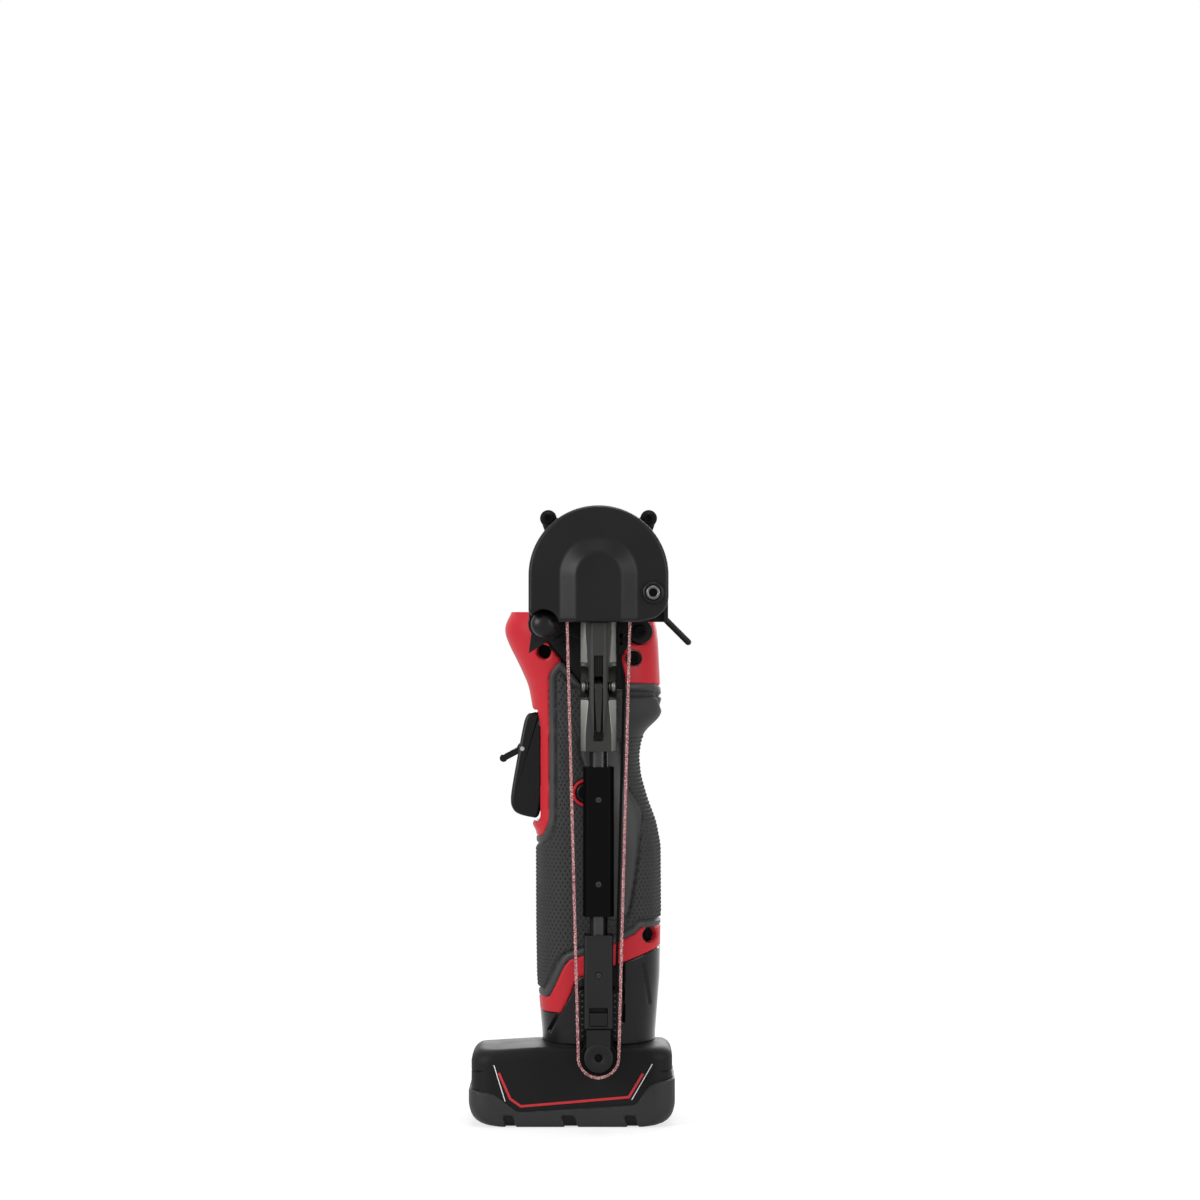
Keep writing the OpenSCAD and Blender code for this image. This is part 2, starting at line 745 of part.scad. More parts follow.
module shell_screws() color("silver") {
    screw_places() screw_y(shell_screw_seat, shell_screw_r, shell_screw_l - screw_short,
        shell_screw_head_r, shell_screw_head_t);
    at_axis() translate([case_fix_x, 0, -case_fix_drop])
        screw_y(case_fix_seat, shell_screw_r, case_fix_l, shell_screw_head_r, shell_screw_head_t);
}

// Motor
module motor_stator() color("peru") difference() {
    ring_z(stator_z, stator_top, stator_r, stator_bore_r);
    for (i = [0 : stator_slots - 1]) rotate(360 * i / stator_slots)
        block([stator_bore_r - overrun, -stator_slot_w / 2, stator_z - overrun],
            [stator_slot_r, stator_slot_w / 2, stator_top + overrun]);
}

module rotor_core() color("slategray") ring_z(stator_z - core_over + seat_gap, stator_top, core_r,
    motor_shaft_r + seat_gap);

module rotor_shaft() color("silver") translate([0, 0, rear_bearing_z])
    cylinder(h = motor_shaft_top - rear_bearing_z, r = motor_shaft_r);

module motor_bearings() color("silver") {
    ring_z(motor_front, motor_front + motor_bearing_w, motor_bearing_r, motor_shaft_r + running_gap);
    ring_z(rear_bearing_z, rear_bearing_z + rear_bearing_w, rear_bearing_r, motor_shaft_r + running_gap);
}

module motor_fan() color([0.2, 0.2, 0.2]) translate([0, 0, stator_top + fan_gap]) difference() {
    union() {
        cylinder(h = fan_t / 3, r = fan_r);
        cylinder(h = fan_t, r = fan_hub_r);
        for (i = [0 : fan_blades - 1]) rotate(360 * i / fan_blades)
            block([fan_hub_r - overrun, -fan_blade_t / 2, 0], [fan_r - fan_rim, fan_blade_t / 2, fan_t]);
    }
    translate([0, 0, -overrun]) cylinder(h = fan_t + 2 * overrun, r = motor_shaft_r + seat_gap);
}

// Bevel teeth: the flank's half thickness at a radius of the tooth's own flat gear, then seen from the apex
function involute(a) = tan(a) * 180 / PI - a;
function tooth_half(radius, flat_r) = let (base_r = flat_r * cos(pressure_angle), r = max(radius,
    base_r))
    radius * PI / 180 * ((gear_module * PI / 2 - backlash)
        / 2 / flat_r * 180 / PI + involute(pressure_angle)
        - involute(acos(min(1, base_r / r))));
function on_cone(polar, side, l) = [l * sin(polar) * cos(side), l * sin(polar) * sin(side),
    l * cos(polar)];

module bevel_tooth(cone, pitch_r) {
    flat_r = pitch_r / cos(cone);
    heights = [-tooth_root - tooth_sink, 0, tooth_top / 2, tooth_top];
    rights = [for (h = heights) let (polar = cone + atan(h / cone_l))
        [polar, tooth_half(flat_r + max(h, -tooth_root), flat_r) / (cone_l * sin(polar)) * 180 / PI]];
    ring = concat(rights, [for (i = [len(rights) - 1 : -1 : 0]) [rights[i][0], -rights[i][1]]]);
    n = len(ring);
    inner = [for (p = ring) on_cone(p[0], p[1], cone_l * (1 - face_share))];
    outer = [for (p = ring) on_cone(p[0], p[1], cone_l)];
    half = n / 2;
    sides = [for (i = [0 : n - 1]) let (j = (i + 1) % n) each [[i, j, n + i], [j, n + j, n + i]]];
    caps = [for (i = [0 : half - 2]) let (a = i, b = i + 1, c = n - 2 - i, d = n - 1 - i)
        each [[a, c, b], [a, d, c], [n + a, n + b, n + c], [n + a, n + c, n + d]]];
    polyhedron(concat(inner, outer), concat(sides, caps));
}

module bevel_teeth(teeth, cone, pitch_r, phase) for (i = [0 : teeth - 1])
    rotate(phase + 360 * i / teeth) bevel_tooth(cone, pitch_r);

// Blank under the teeth, with a hub out to the back
module bevel_blank(cone, bore_r, hub_r, hub_back) {
    root = cone - atan(tooth_root / cone_l);
    inner_l = cone_l * (1 - face_share);
    rotate_extrude() polygon([[bore_r, inner_l * cos(root)], [inner_l * sin(root), inner_l * cos(root)],
        [cone_l * sin(root), cone_l * cos(root)], [hub_r, hub_back - hub_rim], [hub_r, hub_back],
            [bore_r, hub_back]]);
}

module bevel_pinion() color("gray") at_axis() rotate([180, 0, 0]) {
    bevel_blank(pinion_cone, motor_shaft_r + seat_gap, pinion_pitch_r * pinion_hub_share,
        gear_pitch_r + pinion_hub_l);
    bevel_teeth(pinion_teeth, pinion_cone, pinion_pitch_r, -90);
}

module bevel_gear() color("gray") at_axis() rotate([-90, 0, 0]) {
    bevel_blank(gear_cone, shaft_r + seat_gap, gear_hub_r, gear_hub_back);
    bevel_teeth(gear_teeth, gear_cone, gear_pitch_r, 90 + 180 / gear_teeth);
}

// Output
module output_bearings() color("silver") at_axis() {
    ring_y(front_bearing_y, front_bearing_y + output_bearing_w, output_bearing_r, shaft_r + running_gap);
    ring_y(case_rear, case_rear + output_bearing_w - seat_gap, output_bearing_r, shaft_r + running_gap);
}

module output_shaft() color("silver") at_axis() difference() {
    union() {
        along_y(shaft_front, shaft_back - 2 * seat_gap, shaft_r);
        along_y(front_bearing_y + output_bearing_w + seat_gap, pinion_pitch_r * (1 - face_share)
            - 2 * seat_gap, shoulder_r);
    }
    along_y(shaft_front - overrun, shaft_front + wheel_screw_l, wheel_screw_r + seat_gap);
}

module drive_wheel() color("lightgray") at_axis() difference() {
    along_y(wheel_front, wheel_back, wheel_hub_r);
    along_y(wheel_front - overrun, wheel_back + overrun, shaft_r + seat_gap);
    difference() {
        along_y(wheel_front - overrun, wheel_front + wheel_dish, wheel_hub_r - wheel_rim_t);
        along_y(wheel_front - 2 * overrun, wheel_front + wheel_dish + overrun, wheel_web_r);
    }
}

module drive_tyre() color([0.15, 0.15, 0.15]) at_axis() ring_y(wheel_front, wheel_back, wheel_r,
    wheel_hub_r + seat_gap);

module wheel_screw() color("dimgray") at_axis() {
    translate([0, wheel_front - wheel_screw_head_t - seat_gap, 0]) rotate([-90, 0, 0])
        cylinder(h = wheel_screw_head_t, r = wheel_screw_head_r, $fn = 6);
    along_y(wheel_front - wheel_screw_head_t, shaft_front + wheel_screw_l - screw_short, wheel_screw_r);
}

// Arm base
module base_section(w, d, chamfer) polygon([
    [-w / 2, d / 2], [w / 2, d / 2], [w / 2, -d / 2 + chamfer], [w / 2 - chamfer, -d / 2],
    [-w / 2 + chamfer, -d / 2], [-w / 2, -d / 2 + chamfer]]);

module rib_outline() polygon([[-rib_w / 2, -rib_top], [rib_w / 2, -rib_top], [rib_w / 2,
    -rib_taper_from],
    [rib_end_w / 2, -rib_end], [-rib_end_w / 2, -rib_end], [-rib_w / 2, -rib_taper_from]]);

module lever_place() translate([0, base_front + lever_pivot_in, -lever_pivot]) children();

module arm_base() color("darkgray") at_axis() difference() {
    union() {
        along_y(plate_front, ring_back, ring_r);
        translate([0, arm_y, -base_l]) linear_extrude(base_l - beam_top) base_section(base_w, base_d,
            base_chamfer);
        block([-base_w / 2, plate_front, -platen_foot_end], [base_w / 2, plate_back, 0]);
        slab(base_front - rib_h, base_front + overrun) rib_outline();
        slab(plate_front, plate_back) polygon([[-base_w / 2, -ring_r / 3], [-base_w / 2, -ring_r],
            [knob_x + knob_ear_r, knob_z - knob_ear_r], knob_ear_tip, [knob_x - knob_ear_r, knob_z],
            [knob_x, knob_z + knob_ear_r]]);
        for (s = [-1, 1]) slab(plate_front, plate_back) polygon([[0, ring_r / 2],
            [s * ring_r * guard_lug_share, 0],
            [s * (guard_ear_x + guard_ear_r), guard_ear_z], [s * guard_ear_x,
                guard_ear_z + guard_ear_r]]);
    }
    along_y(plate_back, ring_back + overrun, neck_r + running_gap);
    along_y(plate_front - overrun, plate_back + overrun, wheel_screw_head_r + shaft_r);
    translate([0, arm_y, -base_l - overrun]) cylinder(h = base_l - bore_top + overrun,
        r = rod_r + running_gap);
    translate([0, arm_y, -bore_top - overrun]) cylinder(h = retract + spindle_clear + overrun,
        r = spindle_r + pass_gap);
    block([-lever_w / 2 - lever_gap, base_front - rib_h - overrun, -rib_end - finger_r],
        [lever_w / 2 + lever_gap, base_front + lever_t - rib_h + lever_gap, -groove_top]);
    lever_place() along_x(-lever_w / 2 - lever_gap, lever_w / 2 + lever_gap,
        lever_hub_r + rib_h + lever_gap);
    lever_place() along_x(-base_w, base_w, lever_pin_r + seat_gap);
    translate([0, 0, -rib_end]) along_y(base_front - rib_h - overrun, base_front + lever_t, finger_r);
    for (s = [-1, 1]) lever_place() block([s * rib_w / 2 + (s < 0 ? -pin_pocket_w : 0), -base_d / 4,
        -pin_pocket_h / 2],
        [s * rib_w / 2 + (s > 0 ? pin_pocket_w : 0), lever_pin_r, pin_pocket_h / 2]);
    translate([0, arm_y, -platen_screw_drop])
        along_x(base_w / 2 - platen_screw_l, base_w / 2 + overrun, platen_screw_r + seat_gap);
    translate([knob_x, 0, knob_z]) along_y(plate_front - overrun, plate_back + overrun,
        knob_stem_r + running_gap);
    for (s = [-1, 1]) translate([s * guard_ear_x, 0, guard_ear_z])
        along_y(plate_front - overrun, plate_back + overrun, guard_screw_r + seat_gap);
}

module lever_pin() color("silver") at_axis() lever_place() along_x(-base_w / 2, base_w / 2, lever_pin_r);

module release_lever() color([0.16, 0.16, 0.16]) at_axis() lever_place() difference() {
    union() {
        along_x(-lever_w / 2, lever_w / 2, lever_hub_r);
        block([-lever_w / 2, -lever_pivot_in - rib_h, lever_pivot - lever_tip],
            [lever_w / 2, -lever_pivot_in - rib_h + lever_t, lever_hub_r / 2]);
        block([-lever_w / 2, -lever_pivot_in - rib_h, -lever_hub_r], [lever_w / 2, 0, 0]);
    }
    along_x(-lever_w, lever_w, lever_pin_r + running_gap);
}

// Sliding end of the arm
module inner_rod() color("silver") at_axis() translate([0, arm_y, 0]) {
    translate([0, 0, -tube_mid + rod_half_gap]) cylinder(h = tube_mid - rod_half_gap - rod_top,
        r = rod_r);
    translate([0, 0, -rod_top - overrun]) cylinder(h = rod_top + overrun - spindle_top, r = spindle_r);
}

module tension_spring() color("silver") at_axis() translate([0, arm_y, -rod_top + seat_gap])
    coil(spring_r, spring_wire, spring_turns, rod_top - bore_top - 2 * seat_gap);

module set_screw_hole(drop, half) translate([0, arm_y, -drop]) along_y(-half - overrun, 0,
    set_screw_r + seat_gap);

module arm_tube() color([0.08, 0.08, 0.08]) at_axis() difference() {
    translate([0, arm_y, -tube_end]) linear_extrude(tube_end - tube_start)
        polygon([for (q = [0 : 3]) each let (h = tube_w / 2, c = h - tube_chamfer, ca = cos(90 * q),
            sa = sin(90 * q))
            [[h * ca + c * sa, h * sa - c * ca], [h * ca - c * sa, h * sa + c * ca]]]);
    translate([0, arm_y, -tube_end - overrun]) cylinder(h = tube_end - tube_start + 2 * overrun,
        r = rod_r + seat_gap);
    for (drop = [tube_start + set_screw_inset, tube_end - set_screw_inset]) set_screw_hole(drop,
        tube_w / 2);
}

module outer_rod() color("dimgray") at_axis() translate([0, arm_y, -fork_start - fork_seat])
    cylinder(h = fork_start + fork_seat - tube_mid - rod_half_gap, r = rod_r);

module fork_block() color([0.22, 0.22, 0.22]) at_axis() difference() {
    translate([0, arm_y, -fork_end]) linear_extrude(fork_l) base_section(fork_w, belt_w,
        tube_chamfer / 2);
    translate([0, arm_y, -fork_start - fork_seat - seat_gap])
        cylinder(h = fork_seat + overrun, r = rod_r + seat_gap);
    block([-tongue_w / 2 - seat_gap, arm_y - tongue_d / 2 - seat_gap, -fork_end - overrun],
        [tongue_w / 2 + seat_gap, arm_y + tongue_d / 2 + seat_gap, -fork_end + tongue_l + seat_gap]);
    block([-window_w / 2, arm_y - belt_w, -fork_end + window_end],
        [window_w / 2, arm_y, -fork_end + window_end + window_l]);
    set_screw_hole(fork_start + fork_screw_drop, belt_w / 2);
}

module set_screw(drop, half) translate([0, arm_y, -drop]) difference() {
    along_y(-half + set_screw_in, -rod_r - seat_gap, set_screw_r);
    translate([0, -half, 0]) rotate([-90, 0, 0])
        cylinder(h = set_screw_in + set_screw_r, r = set_screw_r * hex_share, $fn = 6);
}

module set_screws() color("gray") at_axis() {
    for (drop = [tube_start + set_screw_inset, tube_end - set_screw_inset]) set_screw(drop, tube_w / 2);
    set_screw(fork_start + fork_screw_drop, belt_w / 2);
}

module tip_yoke() color([0.2, 0.2, 0.2]) at_axis() difference() {
    union() {
        block([-tongue_w / 2, arm_y - tongue_d / 2, -fork_end - bridge_t],
            [tongue_w / 2, arm_y + tongue_d / 2, -fork_end + tongue_l]);
        block([-(window_w / 2 - seat_gap), arm_y - belt_w / 2, -fork_end + window_end + seat_gap],
            [window_w / 2 - seat_gap, arm_y, -fork_end + window_end + pad_l]);
        block([-yoke_w / 2, arm_y - yoke_half, -fork_end - bridge_t],
            [yoke_w / 2, arm_y + yoke_half, -fork_end - bridge_gap]);
        for (s = [-1, 1]) translate([0, arm_y + s * (yoke_half - cheek_t / 2), 0]) {
            translate([0, 0, -arm_l]) along_y(-cheek_t / 2, cheek_t / 2, cheek_r);
            block([-yoke_w / 2, -cheek_t / 2, -arm_l], [yoke_w / 2, cheek_t / 2,
                -fork_end - bridge_gap]);
        }
    }
    translate([0, arm_y, -arm_l]) along_y(-belt_w, belt_w, roller_pin_r + seat_gap);
}

module roller_pin() color("silver") at_axis() translate([0, arm_y, -arm_l]) along_y(-yoke_half,
    yoke_half, roller_pin_r);

module tip_roller() color("gray") at_axis() translate([0, arm_y, -arm_l])
    ring_y(-belt_w / 2, belt_w / 2, roller_r, roller_pin_r + running_gap);

// Sanding belt: an arc over the wheel, an arc under the roller and the straight runs between
function arc(r, from, to, z) = [for (i = [0 : belt_arc_steps]) let (a = from + (to - from)
    * i / belt_arc_steps)
    [r * cos(a), z + r * sin(a)]];

module belt_outline(grow) polygon(concat(
    arc(wheel_belt_r + grow, -belt_lean, 180 + belt_lean, 0),
    arc(roller_belt_r + grow, 180 + belt_lean, 360 - belt_lean, -arm_l)));

module sanding_belt() color("rosybrown") at_axis() difference() {
    slab(wheel_front, wheel_back) belt_outline(belt_t);
    slab(wheel_front - overrun, wheel_back + overrun) belt_outline(0);
}

// Platen: the distance of its outer face from the arm's middle follows the belt
function platen_x(drop) = wheel_belt_r / cos(belt_lean) - drop * tan(belt_lean) - platen_belt_gap;

module platen() color([0.1, 0.1, 0.1]) at_axis() difference() {
    foot_x = base_w / 2 + seat_gap;
    slab(wheel_front, wheel_back) polygon([
        [foot_x, -platen_foot_top], [foot_x + platen_t, -platen_foot_top], [foot_x + platen_t,
            -platen_foot_end],
        [platen_x(platen_bend_end), -platen_bend_end], [platen_x(platen_end), -platen_end],
        [platen_x(platen_end) - platen_t, -platen_end], [platen_x(platen_bend_end) - platen_t,
            -platen_bend_end],
        [foot_x, -platen_foot_end]]);
    translate([0, arm_y, -platen_screw_drop]) along_x(0, base_w, platen_screw_r + seat_gap);
}

// Belt guard: round over the wheel, with straight sides down past it
module guard_outline(r, drop) {
    translate([-r, -drop]) square([2 * r, drop]);
    intersection() {
        circle(r);
        translate([-r, 0]) square([2 * r, r]);
    }
}

module guard_wall(from, to) difference() {
    slab(from, to) guard_outline(guard_r, guard_drop);
    slab(from - overrun, to + overrun) guard_outline(guard_r - guard_t, guard_drop + overrun);
}

module knob_notch() translate([knob_x, 0, knob_z]) along_y(guard_front - overrun,
    plate_front + overrun, knob_r + pass_gap);

module cover_fix_place() translate([cover_fix_x, 0, cover_fix_z]) children();

module guard_back() color([0.12, 0.12, 0.12]) at_axis() difference() {
    union() {
        guard_wall(guard_seam, plate_front);
        slab(plate_front - guard_t, plate_front) guard_outline(guard_r, guard_drop);
        for (s = [-1, 1]) translate([s * guard_ear_x, 0, guard_ear_z]) along_y(guard_seam,
            plate_front, guard_ear_r);
        cover_fix_place() along_y(guard_seam, plate_front, cover_fix_sleeve_r);
    }
    along_y(guard_seam - overrun, plate_front + overrun, wheel_belt_r + belt_t + 3 * wheel_gap);
    block([-wheel_belt_r - belt_t - 2 * wheel_gap, guard_seam - overrun, -guard_drop - overrun],
        [wheel_belt_r + belt_t + 2 * wheel_gap, plate_front + overrun, 0]);
    knob_notch();
    for (s = [-1, 1]) translate([s * guard_ear_x, 0, guard_ear_z])
        along_y(guard_seam - overrun, plate_front + overrun, guard_screw_r + seat_gap);
    cover_fix_place() along_y(guard_seam - overrun, plate_front + overrun, cover_fix_r + seat_gap);
}

// Raised bump over the wheel, from the cover's face to its narrower top
module guard_bump(inset, lift) hull() {
    slab(guard_front - slice_t, guard_front + guard_t + lift) guard_outline(bump_r - inset,
        guard_drop + lift);
    slab(guard_front - bump_h + lift, guard_front - slice_t) guard_outline(bump_top_r - inset / 2,
        guard_drop + lift);
}

module guard_cover() color([0.13, 0.13, 0.13]) at_axis() difference() {
    union() {
        guard_wall(guard_front, guard_seam - seat_gap);
        slab(guard_front, guard_front + guard_t) guard_outline(guard_r, guard_drop);
        guard_bump(0, 0);
        cover_fix_place() along_y(guard_front - cover_fix_proud, guard_seam - seat_gap,
            cover_fix_sleeve_r);
    }
    guard_bump(guard_t, overrun);
    knob_notch();
    cover_fix_place() along_y(guard_front - 2 * cover_fix_proud, guard_seam + overrun,
        cover_fix_r + seat_gap);
    cover_fix_place() along_y(guard_front - 2 * cover_fix_proud, guard_front,
        cover_fix_head_r + seat_gap);
}

module arm_screws() color("silver") at_axis() {
    for (s = [-1, 1]) translate([s * guard_ear_x, 0, guard_ear_z]) screw_y(guard_seam - seat_gap,
        guard_screw_r,
        plate_back - guard_seam - screw_short, guard_screw_head_r, guard_screw_head_t);
    cover_fix_place() screw_y(guard_front - seat_gap, cover_fix_r,
        plate_front - guard_front - screw_short, cover_fix_head_r,
        cover_fix_proud);
    translate([0, arm_y, -platen_screw_drop]) {
        along_x(base_w / 2 + platen_t + 2 * seat_gap, base_w / 2 + platen_t + platen_screw_head_t,
            platen_screw_head_r);
        along_x(base_w / 2 - platen_screw_l + seat_gap, base_w / 2 + platen_t + platen_screw_head_t,
            platen_screw_r);
    }
}

module tracking_knob() color([0.1, 0.1, 0.1]) at_axis() translate([knob_x, knob_front, knob_z])
    difference() {
    turned_y() polygon(concat([[0, 0]],
        [for (i = [1 : 5]) [knob_r * sin(15 * i), knob_dome_h * (1 - cos(15 * i))]],
        [[knob_r, knob_dome_h], [knob_r, knob_base_y - knob_front], [knob_stem_r,
            knob_base_y - knob_front],
         [knob_stem_r, plate_back - pass_gap - knob_front], [0, plate_back - pass_gap - knob_front]]));
    for (i = [0 : knob_flutes - 1]) rotate([0, 360 * i / knob_flutes, 0])
        translate([knob_r + knob_flute_r / 3, 0, 0])
        along_y(knob_dome_h + knob_flute_r, knob_base_y - knob_front + overrun, knob_flute_r);
}

// Lever that locks the swivel
module lock_place() at_axis() translate([lock_x, 0, lock_z]) children();

module lock_lever_pin() color("dimgray") lock_place() {
    along_y(plate_back + 2 * pass_gap, plate_back + 2 * pass_gap + lock_pin_head_t, lock_pin_head_r);
    along_y(plate_back + 2 * pass_gap, case_front + lock_pin_l - seat_gap, lock_pin_big_r);
}

module arm_lock_lever() color([0.1, 0.1, 0.1]) lock_place() difference() {
    union() {
        along_y(lock_hub_front + seat_gap, lock_hub_back, lock_hub_big_r);
        translate([0, (lock_hub_front + lock_hub_back) / 2, 0]) rotate([0, lock_slope, 0]) {
            along_x(lock_hub_big_r - overrun, lock_reach, lock_rod_r);
            translate([lock_reach, 0, 0]) sphere(lock_rod_r);
        }
    }
    along_y(lock_hub_front - overrun, lock_hub_back + overrun, lock_pin_big_r + running_gap);
}

// Paddle switch
module paddle_outline() polygon([for (p = paddle_shares) [-p[0] * paddle_out, -p[1] * paddle_l]]);

module paddle() color([0.11, 0.11, 0.11]) paddle_place() difference() {
    union() {
        slab(-paddle_w / 2, paddle_w / 2) paddle_outline();
        translate([paddle_pivot_in, 0, -paddle_pivot_drop]) along_y(-paddle_w / 2, paddle_w / 2,
            paddle_boss_r);
        block([-overrun, -paddle_w / 2, -paddle_pivot_drop - paddle_boss_r], [paddle_pivot_in,
            paddle_w / 2, -paddle_pivot_drop + paddle_boss_r]);
    }
    translate([paddle_pivot_in, 0, -paddle_pivot_drop]) along_y(-paddle_w, paddle_w,
        paddle_pin_r + running_gap);
    block([-paddle_out - overrun, -lock_w / 2 - pass_gap, -lock_pivot_drop - lock_window_h / 2],
        [overrun, lock_w / 2 + pass_gap, -lock_pivot_drop + lock_window_h / 2]);
    translate([-lock_pivot_in, 0, -lock_pivot_drop]) along_y(-paddle_w, paddle_w, lock_pin_r + seat_gap);
    translate([0, 0, -paddle_spring_drop]) along_x(-paddle_spring_r, overrun,
        paddle_spring_r + pass_gap);
}

module paddle_pin() color("silver") paddle_place() translate([paddle_pivot_in, 0, -paddle_pivot_drop])
    along_y(-paddle_w / 2 - paddle_pin_over + seat_gap, paddle_w / 2 + paddle_pin_over - seat_gap,
        paddle_pin_r);

module paddle_spring() color("silver") paddle_place() translate([well_depth - seat_gap, 0,
    -paddle_spring_drop])
    rotate([0, -90, 0]) coil(paddle_spring_r, paddle_spring_wire, spring_turns,
        well_depth + paddle_spring_r - 2 * pass_gap);

module lock_off_pin() color("silver") paddle_place() translate([-lock_pivot_in, 0, -lock_pivot_drop])
    along_y(-paddle_w / 2, paddle_w / 2, lock_pin_r);

module lock_off_lever() color([0.09, 0.09, 0.09]) paddle_place() translate([-lock_pivot_in, 0,
    -lock_pivot_drop])
    slab(-lock_w / 2, lock_w / 2) difference() {
        union() {
            circle(lock_hub_r);
            rotate(lock_tilt) {
                translate([-lock_reach_out + lock_bead_r, -lock_tip_r])
                    square([lock_reach_out - lock_bead_r, 2 * lock_tip_r]);
                translate([-lock_reach_out + lock_bead_r, 0]) circle(lock_bead_r);
            }
            translate([0, -lock_tip_r]) square([lock_heel_l, 2 * lock_tip_r]);
        }
        circle(lock_pin_r + running_gap);
    }

// Speed button, its bezel and the electronics
module button_place() translate([button_x, 0, button_z]) children();

module button_bezel() color("firebrick") button_place() difference() {
    along_y(button_face, -bay_half_d, bezel_r);
    along_y(button_face - overrun, -bay_half_d + overrun, button_r + pass_gap);
    along_y(button_face + button_l - button_flange_t - pass_gap - button_travel,
        -bay_half_d + overrun, button_flange_r + pass_gap);
}

module speed_button() color([0.12, 0.12, 0.12]) button_place() {
    along_y(button_face - button_proud, button_face + button_l - button_travel, button_r);
    along_y(button_face + button_l - button_flange_t - button_travel,
        button_face + button_l - button_travel, button_flange_r);
}

module control_board() color("darkgreen") block(
    [bay_left + pass_gap, -bay_half_d + pass_gap + button_travel, bay_z + terminal_h + pass_gap],
    [bay_right - pass_gap, -bay_half_d + pass_gap + button_travel + board_t, bay_top - pass_gap]);

module trigger_switch() color([0.25, 0.25, 0.3]) {
    block([bay_left + pass_gap, -switch_half_d, bay_top - switch_h], [switch_right, switch_half_d,
        bay_top - pass_gap]);
    translate([0, 0, bay_top - switch_h / 2]) along_x(bay_left - plunger_reach + pass_gap,
        bay_left + overrun, plunger_r);
}

module terminal_block() color([0.3, 0.3, 0.3])
    block([bay_left + pass_gap, -bay_half_d + pass_gap, bay_z + pass_gap], [bay_right - pass_gap,
        bay_half_d - pass_gap, bay_z + terminal_h]);

// Battery pack
module foot_outline(grow) translate([pack_shift, 0]) {
    square([pack_w + 2 * grow, pack_d - 2 * pack_corner_r], center = true);
    square([pack_w - 2 * pack_corner_r, pack_d + 2 * grow], center = true);
    for (x = [-1, 1], y = [-1, 1]) translate([x * (pack_w / 2 - pack_corner_r),
        y * (pack_d / 2 - pack_corner_r)])
        circle(pack_corner_r + grow);
}

module foot_slice(z, grow) translate([0, 0, z]) linear_extrude(slice_t) foot_outline(grow);

module pack_housing() color([0.1, 0.1, 0.1]) difference() {
    rise = pack_h - slice_t - pack_seam - seat_gap;
    union() {
        for (i = [0 : len(shoulder_shares) - 2]) hull() {
            foot_slice(pack_seam + seat_gap + shoulder_shares[i][0] * rise,
                -shoulder_shares[i][1] * shoulder_in);
            foot_slice(pack_seam + seat_gap + shoulder_shares[i + 1][0] * rise,
                -shoulder_shares[i + 1][1] * shoulder_in);
        }
        translate([0, 0, pack_h - overrun]) linear_extrude(stem_top - pack_h + overrun) stem_outline(0);
    }
    translate([0, 0, pack_seam]) linear_extrude(pack_h - pack_seam - 2 * pack_wall)
        foot_outline(-shoulder_in - pack_wall);
    translate([0, 0, pack_seam - overrun])
        linear_extrude(2 * cell_r + pack_floor - pack_seam + 2 * overrun) foot_outline(-pack_wall);
    translate([0, 0, pack_seam]) linear_extrude(stem_top - stem_top_wall - pack_seam)
        stem_outline(-pack_wall);
}

module pack_base() color([0.2, 0.2, 0.2]) difference() {
    union() {
        translate([0, 0, rim_step]) linear_extrude(pack_seam - rim_step) foot_outline(rim_out);
        linear_extrude(pack_seam) foot_outline(rim_out - rim_step);
    }
    translate([0, 0, pack_floor]) linear_extrude(pack_seam) foot_outline(-pack_wall);
}

module battery_cells() color("steelblue") {
    for (s = [-1, 1]) translate([-cell_dx, s * cell_dy, stem_cell_z]) cylinder(h = cell_l, r = cell_r);
    translate([cell_dx, 0, stem_cell_z]) cylinder(h = cell_l, r = cell_r);
    for (s = [-1 : 1]) translate([pack_shift - cell_l / 2, s * (cell_d + cell_gap),
        pack_floor + cell_gap + cell_r])
        along_x(0, cell_l, cell_r);
}

module pack_label() color("firebrick") slab(-pack_d / 2 - label_t, -pack_d / 2 - seat_gap)
    translate([pack_left + pack_corner_r, pack_seam + label_lift]) square([pack_w - 2 * pack_corner_r,
        stripe_w]);

// Press tabs on the stem, in the notches of the sleeve
module latch(s) color([0.14, 0.14, 0.14]) block(
    [-latch_w / 2, s > 0 ? handle_d / 2 + latch_out - latch_t : -handle_d / 2 - latch_out,
        pack_h + pass_gap],
    [latch_w / 2, s > 0 ? handle_d / 2 + latch_out : -handle_d / 2 - latch_out + latch_t,
        pack_h + pass_gap + latch_h]);

module front_latch() latch(-1);

module rear_latch() latch(1);

front_shell();
rear_shell();
front_grip();
rear_grip();
battery_sleeve();
gear_case();
gear_case_cover();
case_screws();
shell_screws();
motor_stator();
motor_bearings();
output_bearings();
control_board();
trigger_switch();
terminal_block();
button_bezel();
paddle_pin();
paddle_spring();
lock_lever_pin();
rotor_shaft();
rotor_core();
motor_fan();
bevel_pinion();
output_shaft();
bevel_gear();
drive_wheel();
drive_tyre();
wheel_screw();
arm_base();
guard_back();
guard_cover();
arm_screws();
platen();
lever_pin();
sanding_belt();
tension_spring();
inner_rod();
arm_tube();
outer_rod();
fork_block();
tip_yoke();
roller_pin();
set_screws();
tip_roller();
release_lever();
tracking_knob();
arm_lock_lever();
paddle();
lock_off_pin();
lock_off_lever();
speed_button();
pack_housing();
pack_base();
battery_cells();
pack_label();
front_latch();
rear_latch();
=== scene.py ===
"""Cordless belt file: a narrow sanding belt on an arm that swivels about the head, over a battery handle."""

import json
import math

